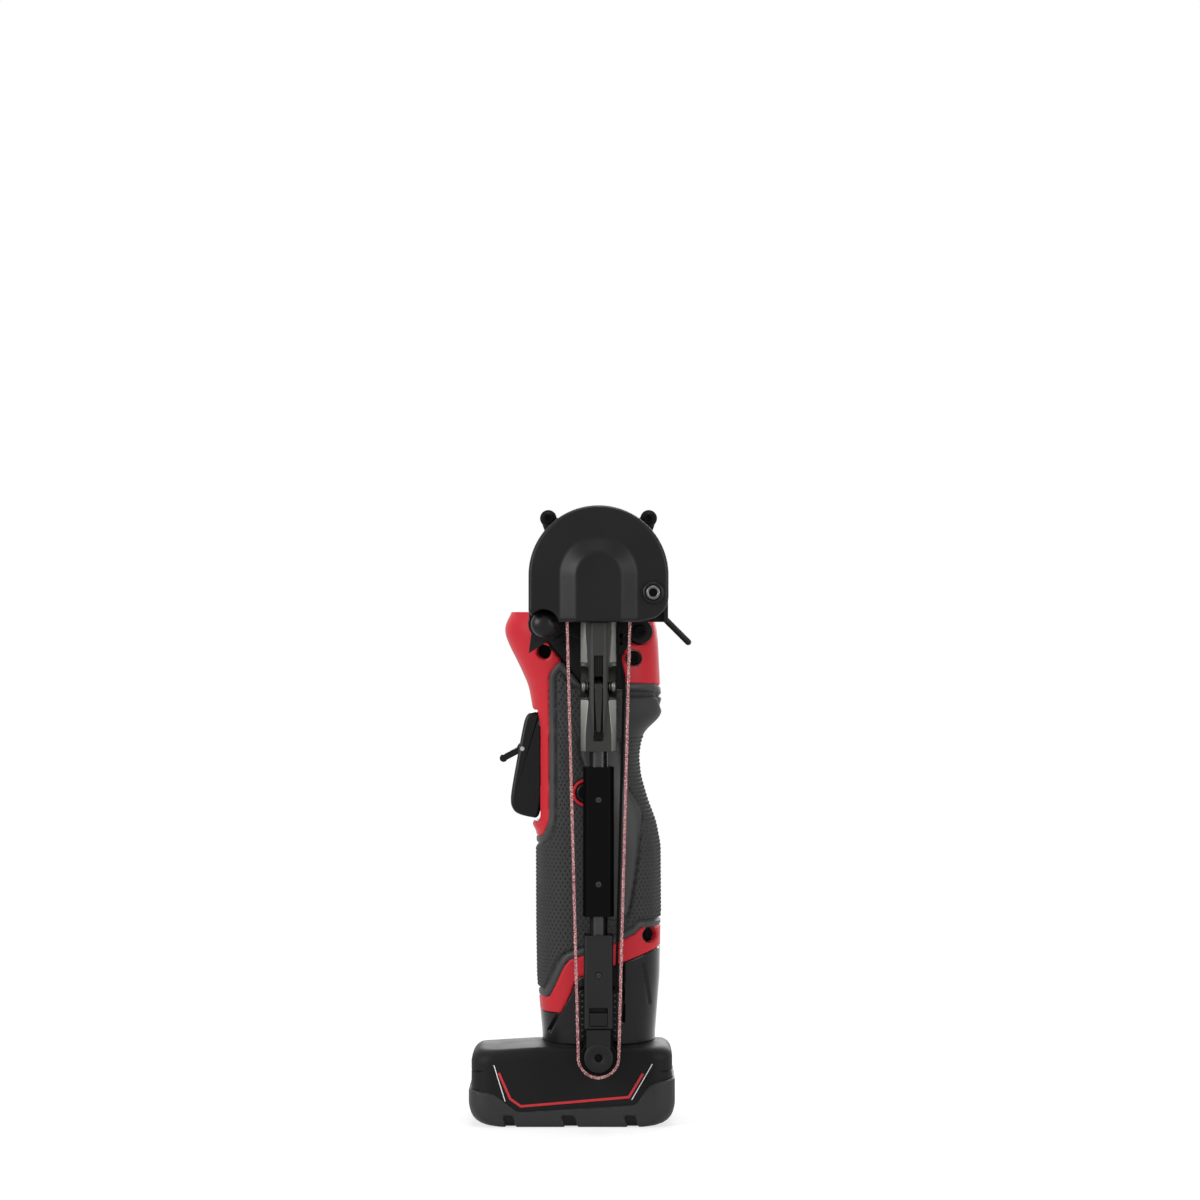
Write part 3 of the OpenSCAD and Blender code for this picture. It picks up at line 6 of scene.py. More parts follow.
import bmesh
import bpy
import numpy as np
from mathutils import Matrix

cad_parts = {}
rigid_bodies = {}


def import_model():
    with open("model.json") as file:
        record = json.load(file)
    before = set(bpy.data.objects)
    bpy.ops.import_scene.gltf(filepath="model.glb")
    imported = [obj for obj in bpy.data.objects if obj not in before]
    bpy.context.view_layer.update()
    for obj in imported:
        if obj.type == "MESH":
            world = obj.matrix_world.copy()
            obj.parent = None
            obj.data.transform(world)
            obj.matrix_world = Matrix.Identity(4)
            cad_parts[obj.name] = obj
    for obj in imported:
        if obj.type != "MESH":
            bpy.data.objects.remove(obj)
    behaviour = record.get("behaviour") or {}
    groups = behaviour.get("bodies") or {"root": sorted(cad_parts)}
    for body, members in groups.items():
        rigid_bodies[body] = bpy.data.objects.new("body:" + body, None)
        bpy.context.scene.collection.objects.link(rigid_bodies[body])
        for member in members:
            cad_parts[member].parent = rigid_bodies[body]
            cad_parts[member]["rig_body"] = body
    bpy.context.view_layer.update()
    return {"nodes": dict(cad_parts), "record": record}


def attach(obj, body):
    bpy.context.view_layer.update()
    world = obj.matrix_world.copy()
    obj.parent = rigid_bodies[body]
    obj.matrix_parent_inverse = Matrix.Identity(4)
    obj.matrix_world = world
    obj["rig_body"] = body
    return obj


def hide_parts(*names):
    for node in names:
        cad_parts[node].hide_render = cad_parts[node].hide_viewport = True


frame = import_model()

# Studio: a white floor and a white surround, with four large soft boxes.
# The camera looks square on at the arm side of the tool, from a metre and a half away.
scene = bpy.context.scene
scene.view_settings.view_transform = "Standard"
WHITE, FLOOR_GREY = (1.0, 1.0, 1.0, 1.0), (0.85, 0.85, 0.85, 1.0)
SURROUND_LIGHT, NEAR_GLOW, SHADOW_FROM, SHADOW_TO = 0.42, 0.70, 0.12, 0.6
FLOOR_DROP, TOOL_MIDDLE = 0.0002, (0.0, 0.0, 0.13)
CAMERA_PLACE, CAMERA_LENS, CAMERA_SENSOR = (0.0006, -1.542, 0.216), 110.8, 36.0


def fill(tree, node, inputs):
    """Gives a node's inputs a value, a link from a socket, or a link from a node's first output."""
    for name, value in inputs.items():
        if isinstance(value, bpy.types.Node):
            value = value.outputs[0]
        if isinstance(value, bpy.types.NodeSocket):
            tree.links.new(value, node.inputs[name])
        else:
            node.inputs[name].default_value = value


def add(tree, kind, inputs=None, **settings):
    """A new node with its settings and its inputs."""
    node = tree.nodes.new(kind)
    for name, value in settings.items():
        setattr(node, name, value)
    fill(tree, node, inputs or {})
    return node


def emptied(holder):
    """The node tree of a material or a world, with nothing in it."""
    holder.use_nodes = True
    holder.node_tree.nodes.clear()
    return holder.node_tree


def showing_ray(tree):
    """One for a ray that shows the surround itself: from the camera, off metal or through glass."""
    path = add(tree, "ShaderNodeLightPath")
    value = path.outputs["Is Camera Ray"]
    for ray in ("Is Glossy Ray", "Is Transmission Ray"):
        value = add(tree, "ShaderNodeMath", {0: value, 1: path.outputs[ray]}, operation="MAXIMUM")
    return value


def placed(name, data):
    """A new object with that data, in the scene."""
    thing = bpy.data.objects.new(name, data)
    scene.collection.objects.link(thing)
    return thing


def soft_box(name, place, aim, size, watts):
    """A square area light at place, facing aim."""
    light = bpy.data.lights.new(name, "AREA")
    light.shape, light.size, light.energy = "SQUARE", size, watts
    across, ahead, up = np.subtract(aim, place)
    lamp = placed(name, light)
    lamp.location = place
    lamp.rotation_euler = (math.atan2(math.hypot(across, ahead), -up), 0.0, math.pi + math.atan2(across, -ahead))


scene.world = bpy.data.worlds.new("white_surround")
tree = emptied(scene.world)
strength = add(tree, "ShaderNodeMapRange", {"Value": showing_ray(tree), "To Min": SURROUND_LIGHT})
surround = add(tree, "ShaderNodeBackground", {"Color": WHITE, "Strength": strength})
add(tree, "ShaderNodeOutputWorld", {"Surface": surround})
soft_box("left_box", (-0.95, -0.70, 0.55), TOOL_MIDDLE, 0.7, 14.0)
soft_box("right_box", (0.85, -0.7, 0.45), TOOL_MIDDLE, 0.6, 7.0)
soft_box("top_box", (0.0, 0.1, 1.1), (0.0, 0.0, 0.1), 0.6, 8.0)
soft_box("back_box", (0.2, 1.0, 0.6), TOOL_MIDDLE, 0.8, 9.0)

floor = placed("floor", bpy.data.meshes.new("floor"))
floor.data.from_pydata([(-6, -6, 0), (6, -6, 0), (6, 9, 0), (-6, 9, 0)], [], [(0, 1, 2, 3)])
floor.location.z = -FLOOR_DROP
floor.data.materials.append(bpy.data.materials.new("floor_paint"))
tree = emptied(floor.data.materials[0])
away = add(tree, "ShaderNodeVectorMath", {0: add(tree, "ShaderNodeTexCoord").outputs["Object"]}, operation="LENGTH")
fade = add(tree, "ShaderNodeMapRange", {
    "Value": away.outputs["Value"], "From Min": SHADOW_FROM, "From Max": SHADOW_TO, "To Min": NEAR_GLOW})
amount = add(tree, "ShaderNodeMath", {0: fade, 1: showing_ray(tree)}, operation="MULTIPLY")
matt = add(tree, "ShaderNodeBsdfDiffuse", {"Color": FLOOR_GREY})
glow = add(tree, "ShaderNodeEmission", {"Color": WHITE})
both = add(tree, "ShaderNodeMixShader", {0: amount, 1: matt, 2: glow})
add(tree, "ShaderNodeOutputMaterial", {"Surface": both})

scene.camera = placed("camera", bpy.data.cameras.new("camera"))
scene.camera.data.sensor_width, scene.camera.data.lens = CAMERA_SENSOR, CAMERA_LENS
scene.camera.location = CAMERA_PLACE
scene.camera.rotation_euler = (math.pi / 2, 0.0, 0.0)

# Battery foot, upper moulding: a satin black box with a drawn-in top, clipped over the cells.
# The three-lobed stem that goes up into the handle is part of the same moulding.
MM, FAR = 0.001, 10.0


def node_group(name, inputs, outputs):
    """An empty shader group with named value sockets, and its input and output nodes."""
    group = bpy.data.node_groups.new(name, "ShaderNodeTree")
    for socket, kind, value in inputs:
        made = group.interface.new_socket(socket, in_out="INPUT", socket_type=kind)
        if value is not None:
            made.default_value = value
    for socket, kind in outputs:
        group.interface.new_socket(socket, in_out="OUTPUT", socket_type=kind)
    return group, group.nodes.new("NodeGroupInput"), group.nodes.new("NodeGroupOutput")


FLOAT, VECTOR = "NodeSocketFloat", "NodeSocketVector"
# The fine spark texture of a mould, as a height, and the uneven sheen that hands leave on it
grain_group, put, got = node_group(
    "mould_grain", [("Vector", VECTOR, None), ("Scale", FLOAT, 900.0), ("Sheen scale", FLOAT, 45.0)],
    [("Height", FLOAT), ("Sheen", FLOAT)])
at = {name: put.outputs[name] for name in ("Vector", "Scale")}
noise = add(grain_group, "ShaderNodeTexNoise", {**at, "Detail": 3.0})
cells = add(grain_group, "ShaderNodeTexVoronoi", at)
smear = add(grain_group, "ShaderNodeTexNoise", {**at, "Scale": put.outputs["Sheen scale"], "Detail": 5.0})
fill(grain_group, got, {"Height": add(grain_group, "ShaderNodeMath", {0: noise, 1: cells}), "Sheen": smear})
SHEEN_LOW, SHEEN_HIGH, SHEEN_ROUGH, GRAIN_STRENGTH = 0.3, 0.7, 0.07, 0.6


def finish(name, colour, rough, grain=900.0, depth=0.02, metallic=0.0, tone=0.12, stretch=None, gloss=0.25):
    """A surface finish: a base colour that varies by tone, uneven roughness and a moulded or ground grain."""
    made = bpy.data.materials.new(name)
    made.use_nodes = True
    tree = made.node_tree
    vector = add(tree, "ShaderNodeTexCoord").outputs["Object"]
    if stretch:
        vector = add(tree, "ShaderNodeMapping", {"Vector": vector, "Scale": stretch})
    surface = add(tree, "ShaderNodeGroup", {"Vector": vector, "Scale": grain}, node_tree=grain_group)
    sheen = surface.outputs["Sheen"]
    dark, light = ((*(min(1.0, c * (1 + way * tone)) for c in colour), 1.0) for way in (-1, 1))
    shades = add(tree, "ShaderNodeMix", {"Factor": sheen, "A": dark, "B": light}, data_type="RGBA")
    uneven = add(tree, "ShaderNodeMapRange", {
        "Value": sheen, "From Min": SHEEN_LOW, "From Max": SHEEN_HIGH,
        "To Min": max(0.05, rough - SHEEN_ROUGH), "To Max": min(1.0, rough + SHEEN_ROUGH)})
    bump = add(tree, "ShaderNodeBump", {
        "Strength": GRAIN_STRENGTH, "Distance": depth * MM, "Height": surface.outputs["Height"]})
    fill(tree, tree.nodes["Principled BSDF"], {
        "Metallic": metallic, "Specular IOR Level": gloss, "Base Color": shades.outputs["Result"],
        "Roughness": uneven, "Normal": bump})
    return made


def plain_mesh(points, faces, *materials):
    """A mesh from points in millimetres."""
    mesh = bpy.data.meshes.new("plain")
    mesh.from_pydata((np.asarray(points, float) * MM).tolist(), [], [list(map(int, f)) for f in faces])
    for material in materials:
        mesh.materials.append(material)
    return mesh


def new_piece(name, points, faces, material, body, slot, *nodes, sharp=40.0):
    """A mesh piece from points in millimetres, smooth but for edges sharper than the angle, on a body."""
    return set_piece(name, plain_mesh(points, faces, material), body, slot, *nodes, sharp=sharp)


def set_piece(name, mesh, body, slot, *nodes, sharp=40.0, even=False):
    """Puts a finished mesh in the scene as a piece on a body, standing for CAD nodes.

    With even, wide flat faces keep flat shading up to their rounded edges.
    """
    mesh.shade_smooth()
    mesh.set_sharp_from_angle(angle=math.radians(sharp))
    piece = placed(name, mesh)
    if even:
        flat = piece.modifiers.new("even", "WEIGHTED_NORMAL")
        flat.keep_sharp, flat.weight = True, 100
        piece.data = evaluated(piece)
        piece.modifiers.clear()
        bpy.data.meshes.remove(mesh)
    piece.data.name = name
    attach(piece, body)
    if nodes:
        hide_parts(*nodes)
    return piece


def evaluated(thing):
    """A new mesh of an object with its modifiers applied."""
    return bpy.data.meshes.new_from_object(thing.evaluated_get(bpy.context.evaluated_depsgraph_get()))


def joined(*shells):
    """Several (points, faces) as one."""
    points, faces, count = [], [], 0
    for shell_points, shell_faces in shells:
        points.append(np.asarray(shell_points, float))
        faces += [[i + count for i in f] for f in shell_faces]
        count += len(shell_points)
    return np.concatenate(points), faces


HALF_WAY = 0.5001


def moved_to_edge(point, field, u, v):
    """Grid parameters with the corners nearest to the line field = 0 moved onto it, and which were moved."""
    f = field(point(u, v))
    best, du, dv = np.full(f.shape, HALF_WAY), np.zeros(f.shape), np.zeros(f.shape)
    for axis in (0, 1):
        for step in (1, -1):
            near = [np.roll(a, -step, axis) for a in (f, u, v)]
            end = [slice(None), slice(None)]
            end[axis] = -1 if step == 1 else 0
            near[0][tuple(end)] = f[tuple(end)]
            crossed = f * near[0] < 0
            share = np.where(crossed, f / np.where(crossed, f - near[0], 1.0), 1.0)
            better = share < best
            best = np.where(better, share, best)
            du, dv = np.where(better, share * (near[1] - u), du), np.where(better, share * (near[2] - v), dv)
    return u + du, v + dv, best < HALF_WAY


def square_to(point, u, v, du, dv):
    """Unit normals of a surface, from small steps in u and v."""
    normal = np.cross(point(u + du, v) - point(u - du, v), point(u, v + dv) - point(u, v - dv))
    return normal / np.maximum(np.linalg.norm(normal, axis=-1, keepdims=True), 1e-12)


def skin(point, us, vs, inside, rise=None, wall=1.6, lines=()):
    """A closed skin over the part of a surface where inside() is negative.

    point(u, v) gives places on the surface; lines are more fields whose zero the mesh follows; rise(place,
    depth) lifts the outer face, with depth the distance from the edge; wall is the thickness.
    """
    u, v = np.meshgrid(us, vs)
    u, v, on_edge = moved_to_edge(point, inside, u.astype(float), v.astype(float))
    for line in lines:
        lu, lv, hit = moved_to_edge(point, line, u, v)
        u, v = np.where(hit & ~on_edge, lu, u), np.where(hit & ~on_edge, lv, v)
    place = point(u, v)
    field = np.where(on_edge, 0.0, inside(place))
    normal = square_to(point, u, v, (us[-1] - us[0]) * 1e-4, (vs[-1] - vs[0]) * 1e-4)
    state = np.sign(np.where(np.abs(field) < 1e-9, 0.0, field)).astype(int)
    index = np.arange(state.size).reshape(state.shape)
    low, high = slice(0, -1), slice(1, None)
    quads = np.stack([index[s] for s in ((low, low), (low, high), (high, high), (high, low))], -1).reshape(-1, 4)
    signs = state.ravel()[quads]
    flat_place, flat_normal = place.reshape(-1, 3), normal.reshape(-1, 3)
    whole = (signs <= 0).all(1) & (signs < 0).any(1)
    faces = quads[whole].tolist()
    mixed = ((signs <= 0).sum(1) >= 3) & ~whole
    for quad, sign in zip(quads[mixed], signs[mixed]):
        kept = [int(q) for q, s in zip(quad, sign) if s <= 0]
        if (sign < 0).any() or inside(flat_place[kept].mean(0)[None, :])[0] < 0:
            faces.append(kept)
    lift = rise(flat_place, np.maximum(-field.ravel(), 0.0)) if rise else np.zeros(len(flat_place))
    outer, inner = flat_place + flat_normal * lift[:, None], flat_place - flat_normal * wall
    used = np.unique(np.concatenate([np.asarray(f) for f in faces]))
    count = len(used)
    renumber = np.full(state.size, -1)
    renumber[used] = np.arange(count)
    faces = [[int(renumber[i]) for i in f] for f in faces]
    edges = {(a, b) for f in faces for a, b in zip(f, f[1:] + f[:1])}
    walls = [[b, a, a + count, b + count] for a, b in edges if (b, a) not in edges]
    back = [[i + count for i in reversed(f)] for f in faces]
    return np.concatenate([outer[used], inner[used]]), faces + back + walls


def rolled(depth, radius):
    """The drop of an edge rounded to that radius, at a depth from the edge."""
    left = np.clip(1 - depth / radius, 0, 1)
    return -radius * (1 - np.sqrt(1 - left * left))


FOOT_MIDDLE, FOOT_HALF_W, FOOT_HALF_D, FOOT_CORNER = -11.0, 42.0, 29.0, 9.0
SAG_LEFT, SAG_LEFT_FROM, SAG_BACK, SAG_CREST, SAG_REACH = 0.06, -25.0, 1.6, -8.0, 25.0
SAG_FROM, SAG_EASE = 23.5, 5.0
quarter = np.linspace(0, math.pi / 2, 25)
foot_loop = np.concatenate([
    np.stack([sx * (FOOT_HALF_W - FOOT_CORNER) + FOOT_CORNER * np.cos(start + quarter),
              sy * (FOOT_HALF_D - FOOT_CORNER) + FOOT_CORNER * np.sin(start + quarter)], -1)
    for sx, sy, start in ((1, 1, 0), (-1, 1, math.pi / 2), (-1, -1, math.pi), (1, -1, 1.5 * math.pi))])
foot_loop = np.concatenate([foot_loop, foot_loop[:1]])
foot_along = np.concatenate([[0], np.cumsum(np.linalg.norm(np.diff(foot_loop, axis=0), axis=1))])
FOOT_ROUND = foot_along[-1]


def foot_surface(profile, steps, sag=0.0):
    """Points round the foot, with v along a profile of (share across, share deep, height), and the places of v.

    With sag, the top falls to the left end and, in a curve, to the back.
    """
    across, deep, heights = np.asarray(profile, float).T
    run = np.concatenate([[0], np.cumsum(np.hypot(np.diff(across) * FOOT_HALF_W, np.diff(heights)))])

    def point(u, v):
        u = np.mod(u, FOOT_ROUND)
        x = np.interp(u, foot_along, foot_loop[:, 0]) * np.interp(v, run, across) + FOOT_MIDDLE
        y = np.interp(u, foot_along, foot_loop[:, 1]) * np.interp(v, run, deep)
        z = np.interp(v, run, heights)
        fall = SAG_LEFT * np.maximum(0, SAG_LEFT_FROM - x) + SAG_BACK * ((y - SAG_CREST) / SAG_REACH) ** 2
        return np.stack([x, y, z - sag * fall * np.clip((z - SAG_FROM) / SAG_EASE, 0, 1)], -1)
    return point, np.unique(np.concatenate([run, np.linspace(0, run[-1], steps)]))


def everywhere(place):
    return np.full(place.shape[:-1], -FAR)


def closed_ring(points, faces, keep=1e-3):
    """Merges the doubled points of a skin that runs right round."""
    made = bmesh.new()
    corners = [made.verts.new(p) for p in points]
    for face in faces:
        try:
            made.faces.new([corners[i] for i in face])
        except ValueError:
            continue
    bmesh.ops.remove_doubles(made, verts=made.verts, dist=keep)
    bmesh.ops.recalc_face_normals(made, faces=made.faces)
    made.verts.index_update()
    out = [v.co[:] for v in made.verts], [[v.index for v in f.verts] for f in made.faces]
    made.free()
    return out


STEM_CENTRES = ((-8.054, 9.3), (-8.054, -9.3), (8.054, 0.0))
STEM_R, STEM_LOW, STEM_TOP = 10.5, 31.5, 104.3


def once_round(count):
    """Angles of a whole turn, in as many steps."""
    return np.linspace(0, 2 * math.pi, count, endpoint=False)


def stem_loop(grow, count=120):
    """Points round the three lobes of the stem."""
    out = []
    for angle in once_round(count):
        facing = np.array([math.cos(angle), math.sin(angle)])
        centre = max(STEM_CENTRES, key=lambda c: facing @ np.array(c))
        out.append(np.array(centre) + (STEM_R + grow) * facing)
    return np.array(out)


def through(rings, capped=True):
    """A solid through rings of as many points: capped at both ends, or with its last ring joined to the first."""
    count, last = len(rings[0]), len(rings) - 1
    pairs = [(k, k + 1) for k in range(last)] + ([] if capped else [(last, 0)])
    faces = [[a * count + i, a * count + (i + 1) % count, b * count + (i + 1) % count, b * count + i]
             for a, b in pairs for i in range(count)]
    if capped:
        faces += [list(range(count - 1, -1, -1)), [last * count + i for i in range(count)]]
    return np.concatenate(rings), faces


def level(loop, z):
    """A loop in X and Y at a height."""
    return np.column_stack([loop, np.full(len(loop), z)])


black_plastic = finish("black_moulding", (0.0036, 0.0036, 0.0040), 0.3, grain=1400, depth=0.012, gloss=0.17)
SEAM_Z, SEAM_DEPTH, SEAM_HALF, SEAM_FROM, HOUSING_WALL = 22.5, 0.4, 0.4, 36.5, 1.0
FOOT_TOP, TOP_ROUND, TOP_ROUND_SHARE, WALL_SHARE = 33.2, 5.0, 0.119, 0.985
top_round = [(WALL_SHARE - TOP_ROUND_SHARE * (1 - math.cos(a)),) * 2 + (FOOT_TOP - TOP_ROUND * (1 - math.sin(a)),)
             for a in np.linspace(0, math.pi / 2, 13)]
housing_point, housing_rows = foot_surface(
    [(0.78, 0.965, 1.0), (0.87, 0.975, 2.0), (0.93, 0.980, 3.6), (0.965, 0.983, 5.4), (0.98, 0.985, 7.4),
     *((WALL_SHARE, WALL_SHARE, z) for z in (9.0, SEAM_Z - SEAM_HALF, SEAM_Z, SEAM_Z + SEAM_HALF)),
     *top_round, (0.02, 0.02, FOOT_TOP)], 120, sag=1.0)


def housing_rise(place, depth):
    seam = np.clip(1 - np.abs(place[:, 2] - SEAM_Z) / SEAM_HALF, 0, 1)
    return -SEAM_DEPTH * seam * (np.abs(place[:, 0] - FOOT_MIDDLE) > SEAM_FROM)


housing = closed_ring(*skin(
    housing_point, np.linspace(0, FOOT_ROUND, 300), housing_rows, everywhere, housing_rise, wall=HOUSING_WALL))
STEM_ROWS = ((0, STEM_LOW), (0, STEM_TOP - 1.2), (-0.15, STEM_TOP - 0.6), (-0.6, STEM_TOP - 0.15), (-1.2, STEM_TOP))
stem = through([level(stem_loop(grow), z) for grow, z in STEM_ROWS])
pack_black = finish("pack_moulding", (0.0060, 0.0060, 0.0065), 0.52, grain=1400, depth=0.012, gloss=0.10)
new_piece("battery_housing", *joined(housing, stem), pack_black, "pack", "black_plastic", "pack_housing")

# Battery foot, lower rim: a dark grey tray that stands a little proud and dips under the label.
# Its upper edge is a rolled lip, and its front has three upright notches.
grey_plastic = finish("grey_moulding", (0.0165, 0.0165, 0.0168), 0.5, grain=1100, depth=0.035, gloss=0.2)
RIM_X = [-60.0, -52.1, -43.0, -38.5, -34.0, -32.0, 12.5, 15.5, 20.2, 22.5, 31.0, 40.0]
RIM_Z = [14.8, 14.8, 13.5, 10.4, 6.8, 6.2, 8.9, 9.6, 16.6, 18.0, 19.4, 19.6]
RIM_NOTCHES, NOTCH_TOP, NOTCH_LEAN, NOTCH_BACK = ((-36.6, 1.9), (-11.9, 2.5), (13.4, 2.1)), 4.5, 0.3, -25.5
RIM_ROUND, RIM_WALL = 0.7, 0.9


def rim_edge(place):
    x, y, z = place[..., 0], place[..., 1], place[..., 2]
    edge = z - np.interp(x, RIM_X, RIM_Z)
    for middle, half in RIM_NOTCHES:
        cut = np.maximum(np.abs(x - middle + NOTCH_LEAN * (z - NOTCH_TOP / 2)) - half, z - NOTCH_TOP)
        edge = np.maximum(edge, -np.maximum(cut, y - NOTCH_BACK))
    return edge


rim_point, rim_rows = foot_surface(
    [(0.02, 0.02, 0.0), (0.5, 0.6, 0.0), (0.80, 0.975, 0.0), (0.85, 0.993, 0.35), (0.90, 1.002, 1.1),
     (0.94, 1.006, 2.2), (0.97, 1.008, 3.6), (0.99, 1.010, 5.2), (1.003, 1.011, 7.0), (1.010, 1.012, 8.6),
     (1.012, 1.012, 10.0), (1.012, 1.012, 20.0)], 120)
rim = closed_ring(*skin(
    rim_point, np.linspace(0, FOOT_ROUND, 420), rim_rows, rim_edge,
    lambda place, depth: rolled(depth, RIM_ROUND), wall=RIM_WALL))
new_piece("battery_tray", *rim, grey_plastic, "pack", "grey_plastic", "pack_base")

# Battery label: a plain red line and two thin pale ones, printed on the front of the foot.
# They follow the dip of the tray; nothing is written on it.
LABEL_Y, LABEL_T, RED_HALF_W, PALE_HALF_W = -28.58, 0.16, 0.5, 0.17
RED_LINE = [(-40.9, 22.2), (-36.2, 11.6), (-31.8, 8.5), (12.4, 12.3), (18.2, 21.9)]
PALE_LINES = ([(-42.9, 25.4), (-38.3, 10.6)], [(13.6, 11.2), (22.1, 25.9)])


def strip(edges):
    """A solid strip between four lines, each of them (points in X and Z, y)."""
    return through(np.stack([np.insert(line, 1, y, axis=1) for line, y in edges], 1))


def ribbon(line, half_width):
    """A printed line in X and Z on the foot's front, with mitred corners."""
    line = np.asarray(line, float)
    ways = np.diff(line, axis=0)
    ways /= np.linalg.norm(ways, axis=1)[:, None]
    sides = np.column_stack([-ways[:, 1], ways[:, 0]])
    turns = (sides[:-1] + sides[1:]) / (1 + (sides[:-1] * sides[1:]).sum(1))[:, None]
    mitre = np.vstack([sides[:1], turns, sides[-1:]]) * half_width
    over, under, face = line + mitre, line - mitre, LABEL_Y - LABEL_T
    return strip([(over, face), (under, face), (under, LABEL_Y), (over, LABEL_Y)])


label_red = finish("label_red", (0.36, 0.016, 0.022), 0.35, depth=0.004, tone=0.05)
label_pale = finish("label_pale", (0.55, 0.55, 0.55), 0.35, depth=0.004, tone=0.05)
new_piece("label_line_red", *ribbon(RED_LINE, RED_HALF_W), label_red, "pack", "label_red", "pack_label")
pale_lines = joined(*(ribbon(line, PALE_HALF_W) for line in PALE_LINES))
new_piece("label_line_pale", *pale_lines, label_pale, "pack", "label_red")

# Handle: the outside of the two shells, their rubber and the battery sleeve is one flowing form.
# It is drawn from level sections: height, left reach, right reach and depth, as shares of the size.
HANDLE_Z, HANDLE_H, HANDLE_W, HANDLE_D, SECTION_POWER = 36.0, 175.0, 51.3, 46.6, 2.6
HANDLE_SHARES = np.array([
    [0.000, 0.910, 0.920, 0.935], [0.051, 0.945, 0.945, 0.955], [0.137, 0.990, 0.990, 0.985],
    [0.263, 1.004, 1.006, 1.000], [0.446, 1.008, 1.000, 1.000], [0.503, 1.008, 0.925, 0.985],
    [0.554, 1.008, 0.792, 0.965], [0.611, 1.008, 0.680, 0.945], [0.657, 1.008, 0.650, 0.935],
    [0.697, 1.010, 0.690, 0.935], [0.722, 1.015, 0.775, 0.945], [0.743, 1.025, 0.960, 0.960],
    [0.762, 1.060, 1.035, 0.970], [0.800, 1.105, 1.025, 0.985], [0.826, 1.140, 1.000, 0.990],
    [0.874, 1.286, 0.985, 0.995], [0.920, 1.447, 0.970, 1.000], [0.952, 1.530, 0.952, 1.000],
    [0.977, 1.500, 0.925, 0.990], [1.000, 1.400, 0.880, 0.970]])
EASE = 0.013
HOOK_Z, HOOK_HALF, HOOK_OUT = 123.0, 2.3, 1.6
turn = np.linspace(0, 2 * math.pi, 4001)


def bowed(wave):
    return np.sign(wave) * np.abs(wave) ** (2 / SECTION_POWER)


section_run = np.concatenate([[0], np.cumsum(np.hypot(np.diff(bowed(np.cos(turn))), np.diff(bowed(np.sin(turn)))))])
section_run /= section_run[-1]


def eased(share, column_index):
    """A column of the sections at a height, with its corners eased."""
    steps = np.linspace(-1, 1, 9)
    return sum(np.interp(share + EASE * t, HANDLE_SHARES[:, 0], HANDLE_SHARES[:, column_index]) for t in steps) / 9


def handle_point(u, v):
    """A point of the handle: u once round from +X over +Y, v the height."""
    angle = np.interp(np.mod(u, 1.0), section_run, turn)
    share = (v - HANDLE_Z) / HANDLE_H
    left, right, deep = (eased(share, i) for i in (1, 2, 3))
    x = HANDLE_W / 4 * ((right - left) + (right + left) * bowed(np.cos(angle)))
    x = x - HOOK_OUT * np.exp(-((v - HOOK_Z) / HOOK_HALF) ** 2) * np.clip(-np.cos(angle), 0, 1) ** 4
    return np.stack([x, HANDLE_D / 2 * deep * bowed(np.sin(angle)), v], -1)


def on_handle(shares):
    return [(x * HANDLE_W / 2, HANDLE_Z + z * HANDLE_H) for x, z in shares]


def smoothed(points, times=2, share=0.25):
    """A closed outline with its corners cut back, several times over."""
    points = np.asarray(points, float)
    for _ in range(times):
        ahead = np.roll(points, -1, axis=0)
        near, far = points * (1 - share) + ahead * share, points * share + ahead * (1 - share)
        points = np.stack([near, far], 1).reshape(-1, 2)
    return points


def segment_distance(place, a, b):
    """Distance in X and Z to the line between two places."""
    x, z = place[..., 0] - a[0], place[..., 2] - a[1]
    dx, dz = b[0] - a[0], b[1] - a[1]
    along = np.clip((x * dx + z * dz) / (dx * dx + dz * dz + 1e-12), 0, 1)
    return np.hypot(x - along * dx, z - along * dz)


def outline_distance(place, points):
    """Signed distance in X and Z to a closed outline, negative inside."""
    x, z = place[..., 0], place[..., 2]
    near, inside = np.full(x.shape, 1e9), np.zeros(x.shape, bool)
    points = np.asarray(points, float)
    for a, b in zip(points, np.roll(points, -1, axis=0)):
        near = np.minimum(near, segment_distance(place, a, b))
        dx, dz = b - a
        if dz:
            inside ^= ((a[1] > z) != (b[1] > z)) & (x < dx * (z - a[1]) / dz + a[0])
    return np.where(inside, -near, near)


def disc_distance(place, x, z, r):
    return np.hypot(place[..., 0] - x, place[..., 2] - z) - r


GRIP_OUTLINE = smoothed(on_handle([
    (-0.808, 0.849), (-0.808, 0.515), (-0.850, 0.490), (-0.920, 0.472), (-1.200, 0.460), (-1.200, 0.090),
    (-0.808, 0.090), (-0.710, 0.118), (-0.561, 0.166), (-0.463, 0.183), (-0.298, 0.190), (0.353, 0.227),
    (0.600, 0.243), (0.682, 0.257), (1.200, 0.257), (1.200, 0.831), (-0.310, 0.836), (-0.588, 0.889),
    (-0.740, 0.866)]), 2, 0.12)
SLEEVE_OUTLINE = on_handle([
    (-1.250, 0.055), (-0.612, 0.055), (-0.447, 0.101), (-0.380, 0.129), (-0.298, 0.142), (0.353, 0.174),
    (0.945, 0.205), (1.250, 0.215), (1.250, -0.050), (-1.250, -0.050)])
HALVES, SIDES, HANDLE_ROUND = {"front": (0.5, 1.0), "rear": (0.0, 0.5)}, {"front": -1, "rear": 1}, 148.0
AXIS_Z, CASE_CLEAR_R, NECK_DROP, CUT_GAP = 226.0, 27.3, 36.0, 0.05
EAR_X, EAR_DROP, EAR_CLEAR_R = 17.3, 23.0, 5.3
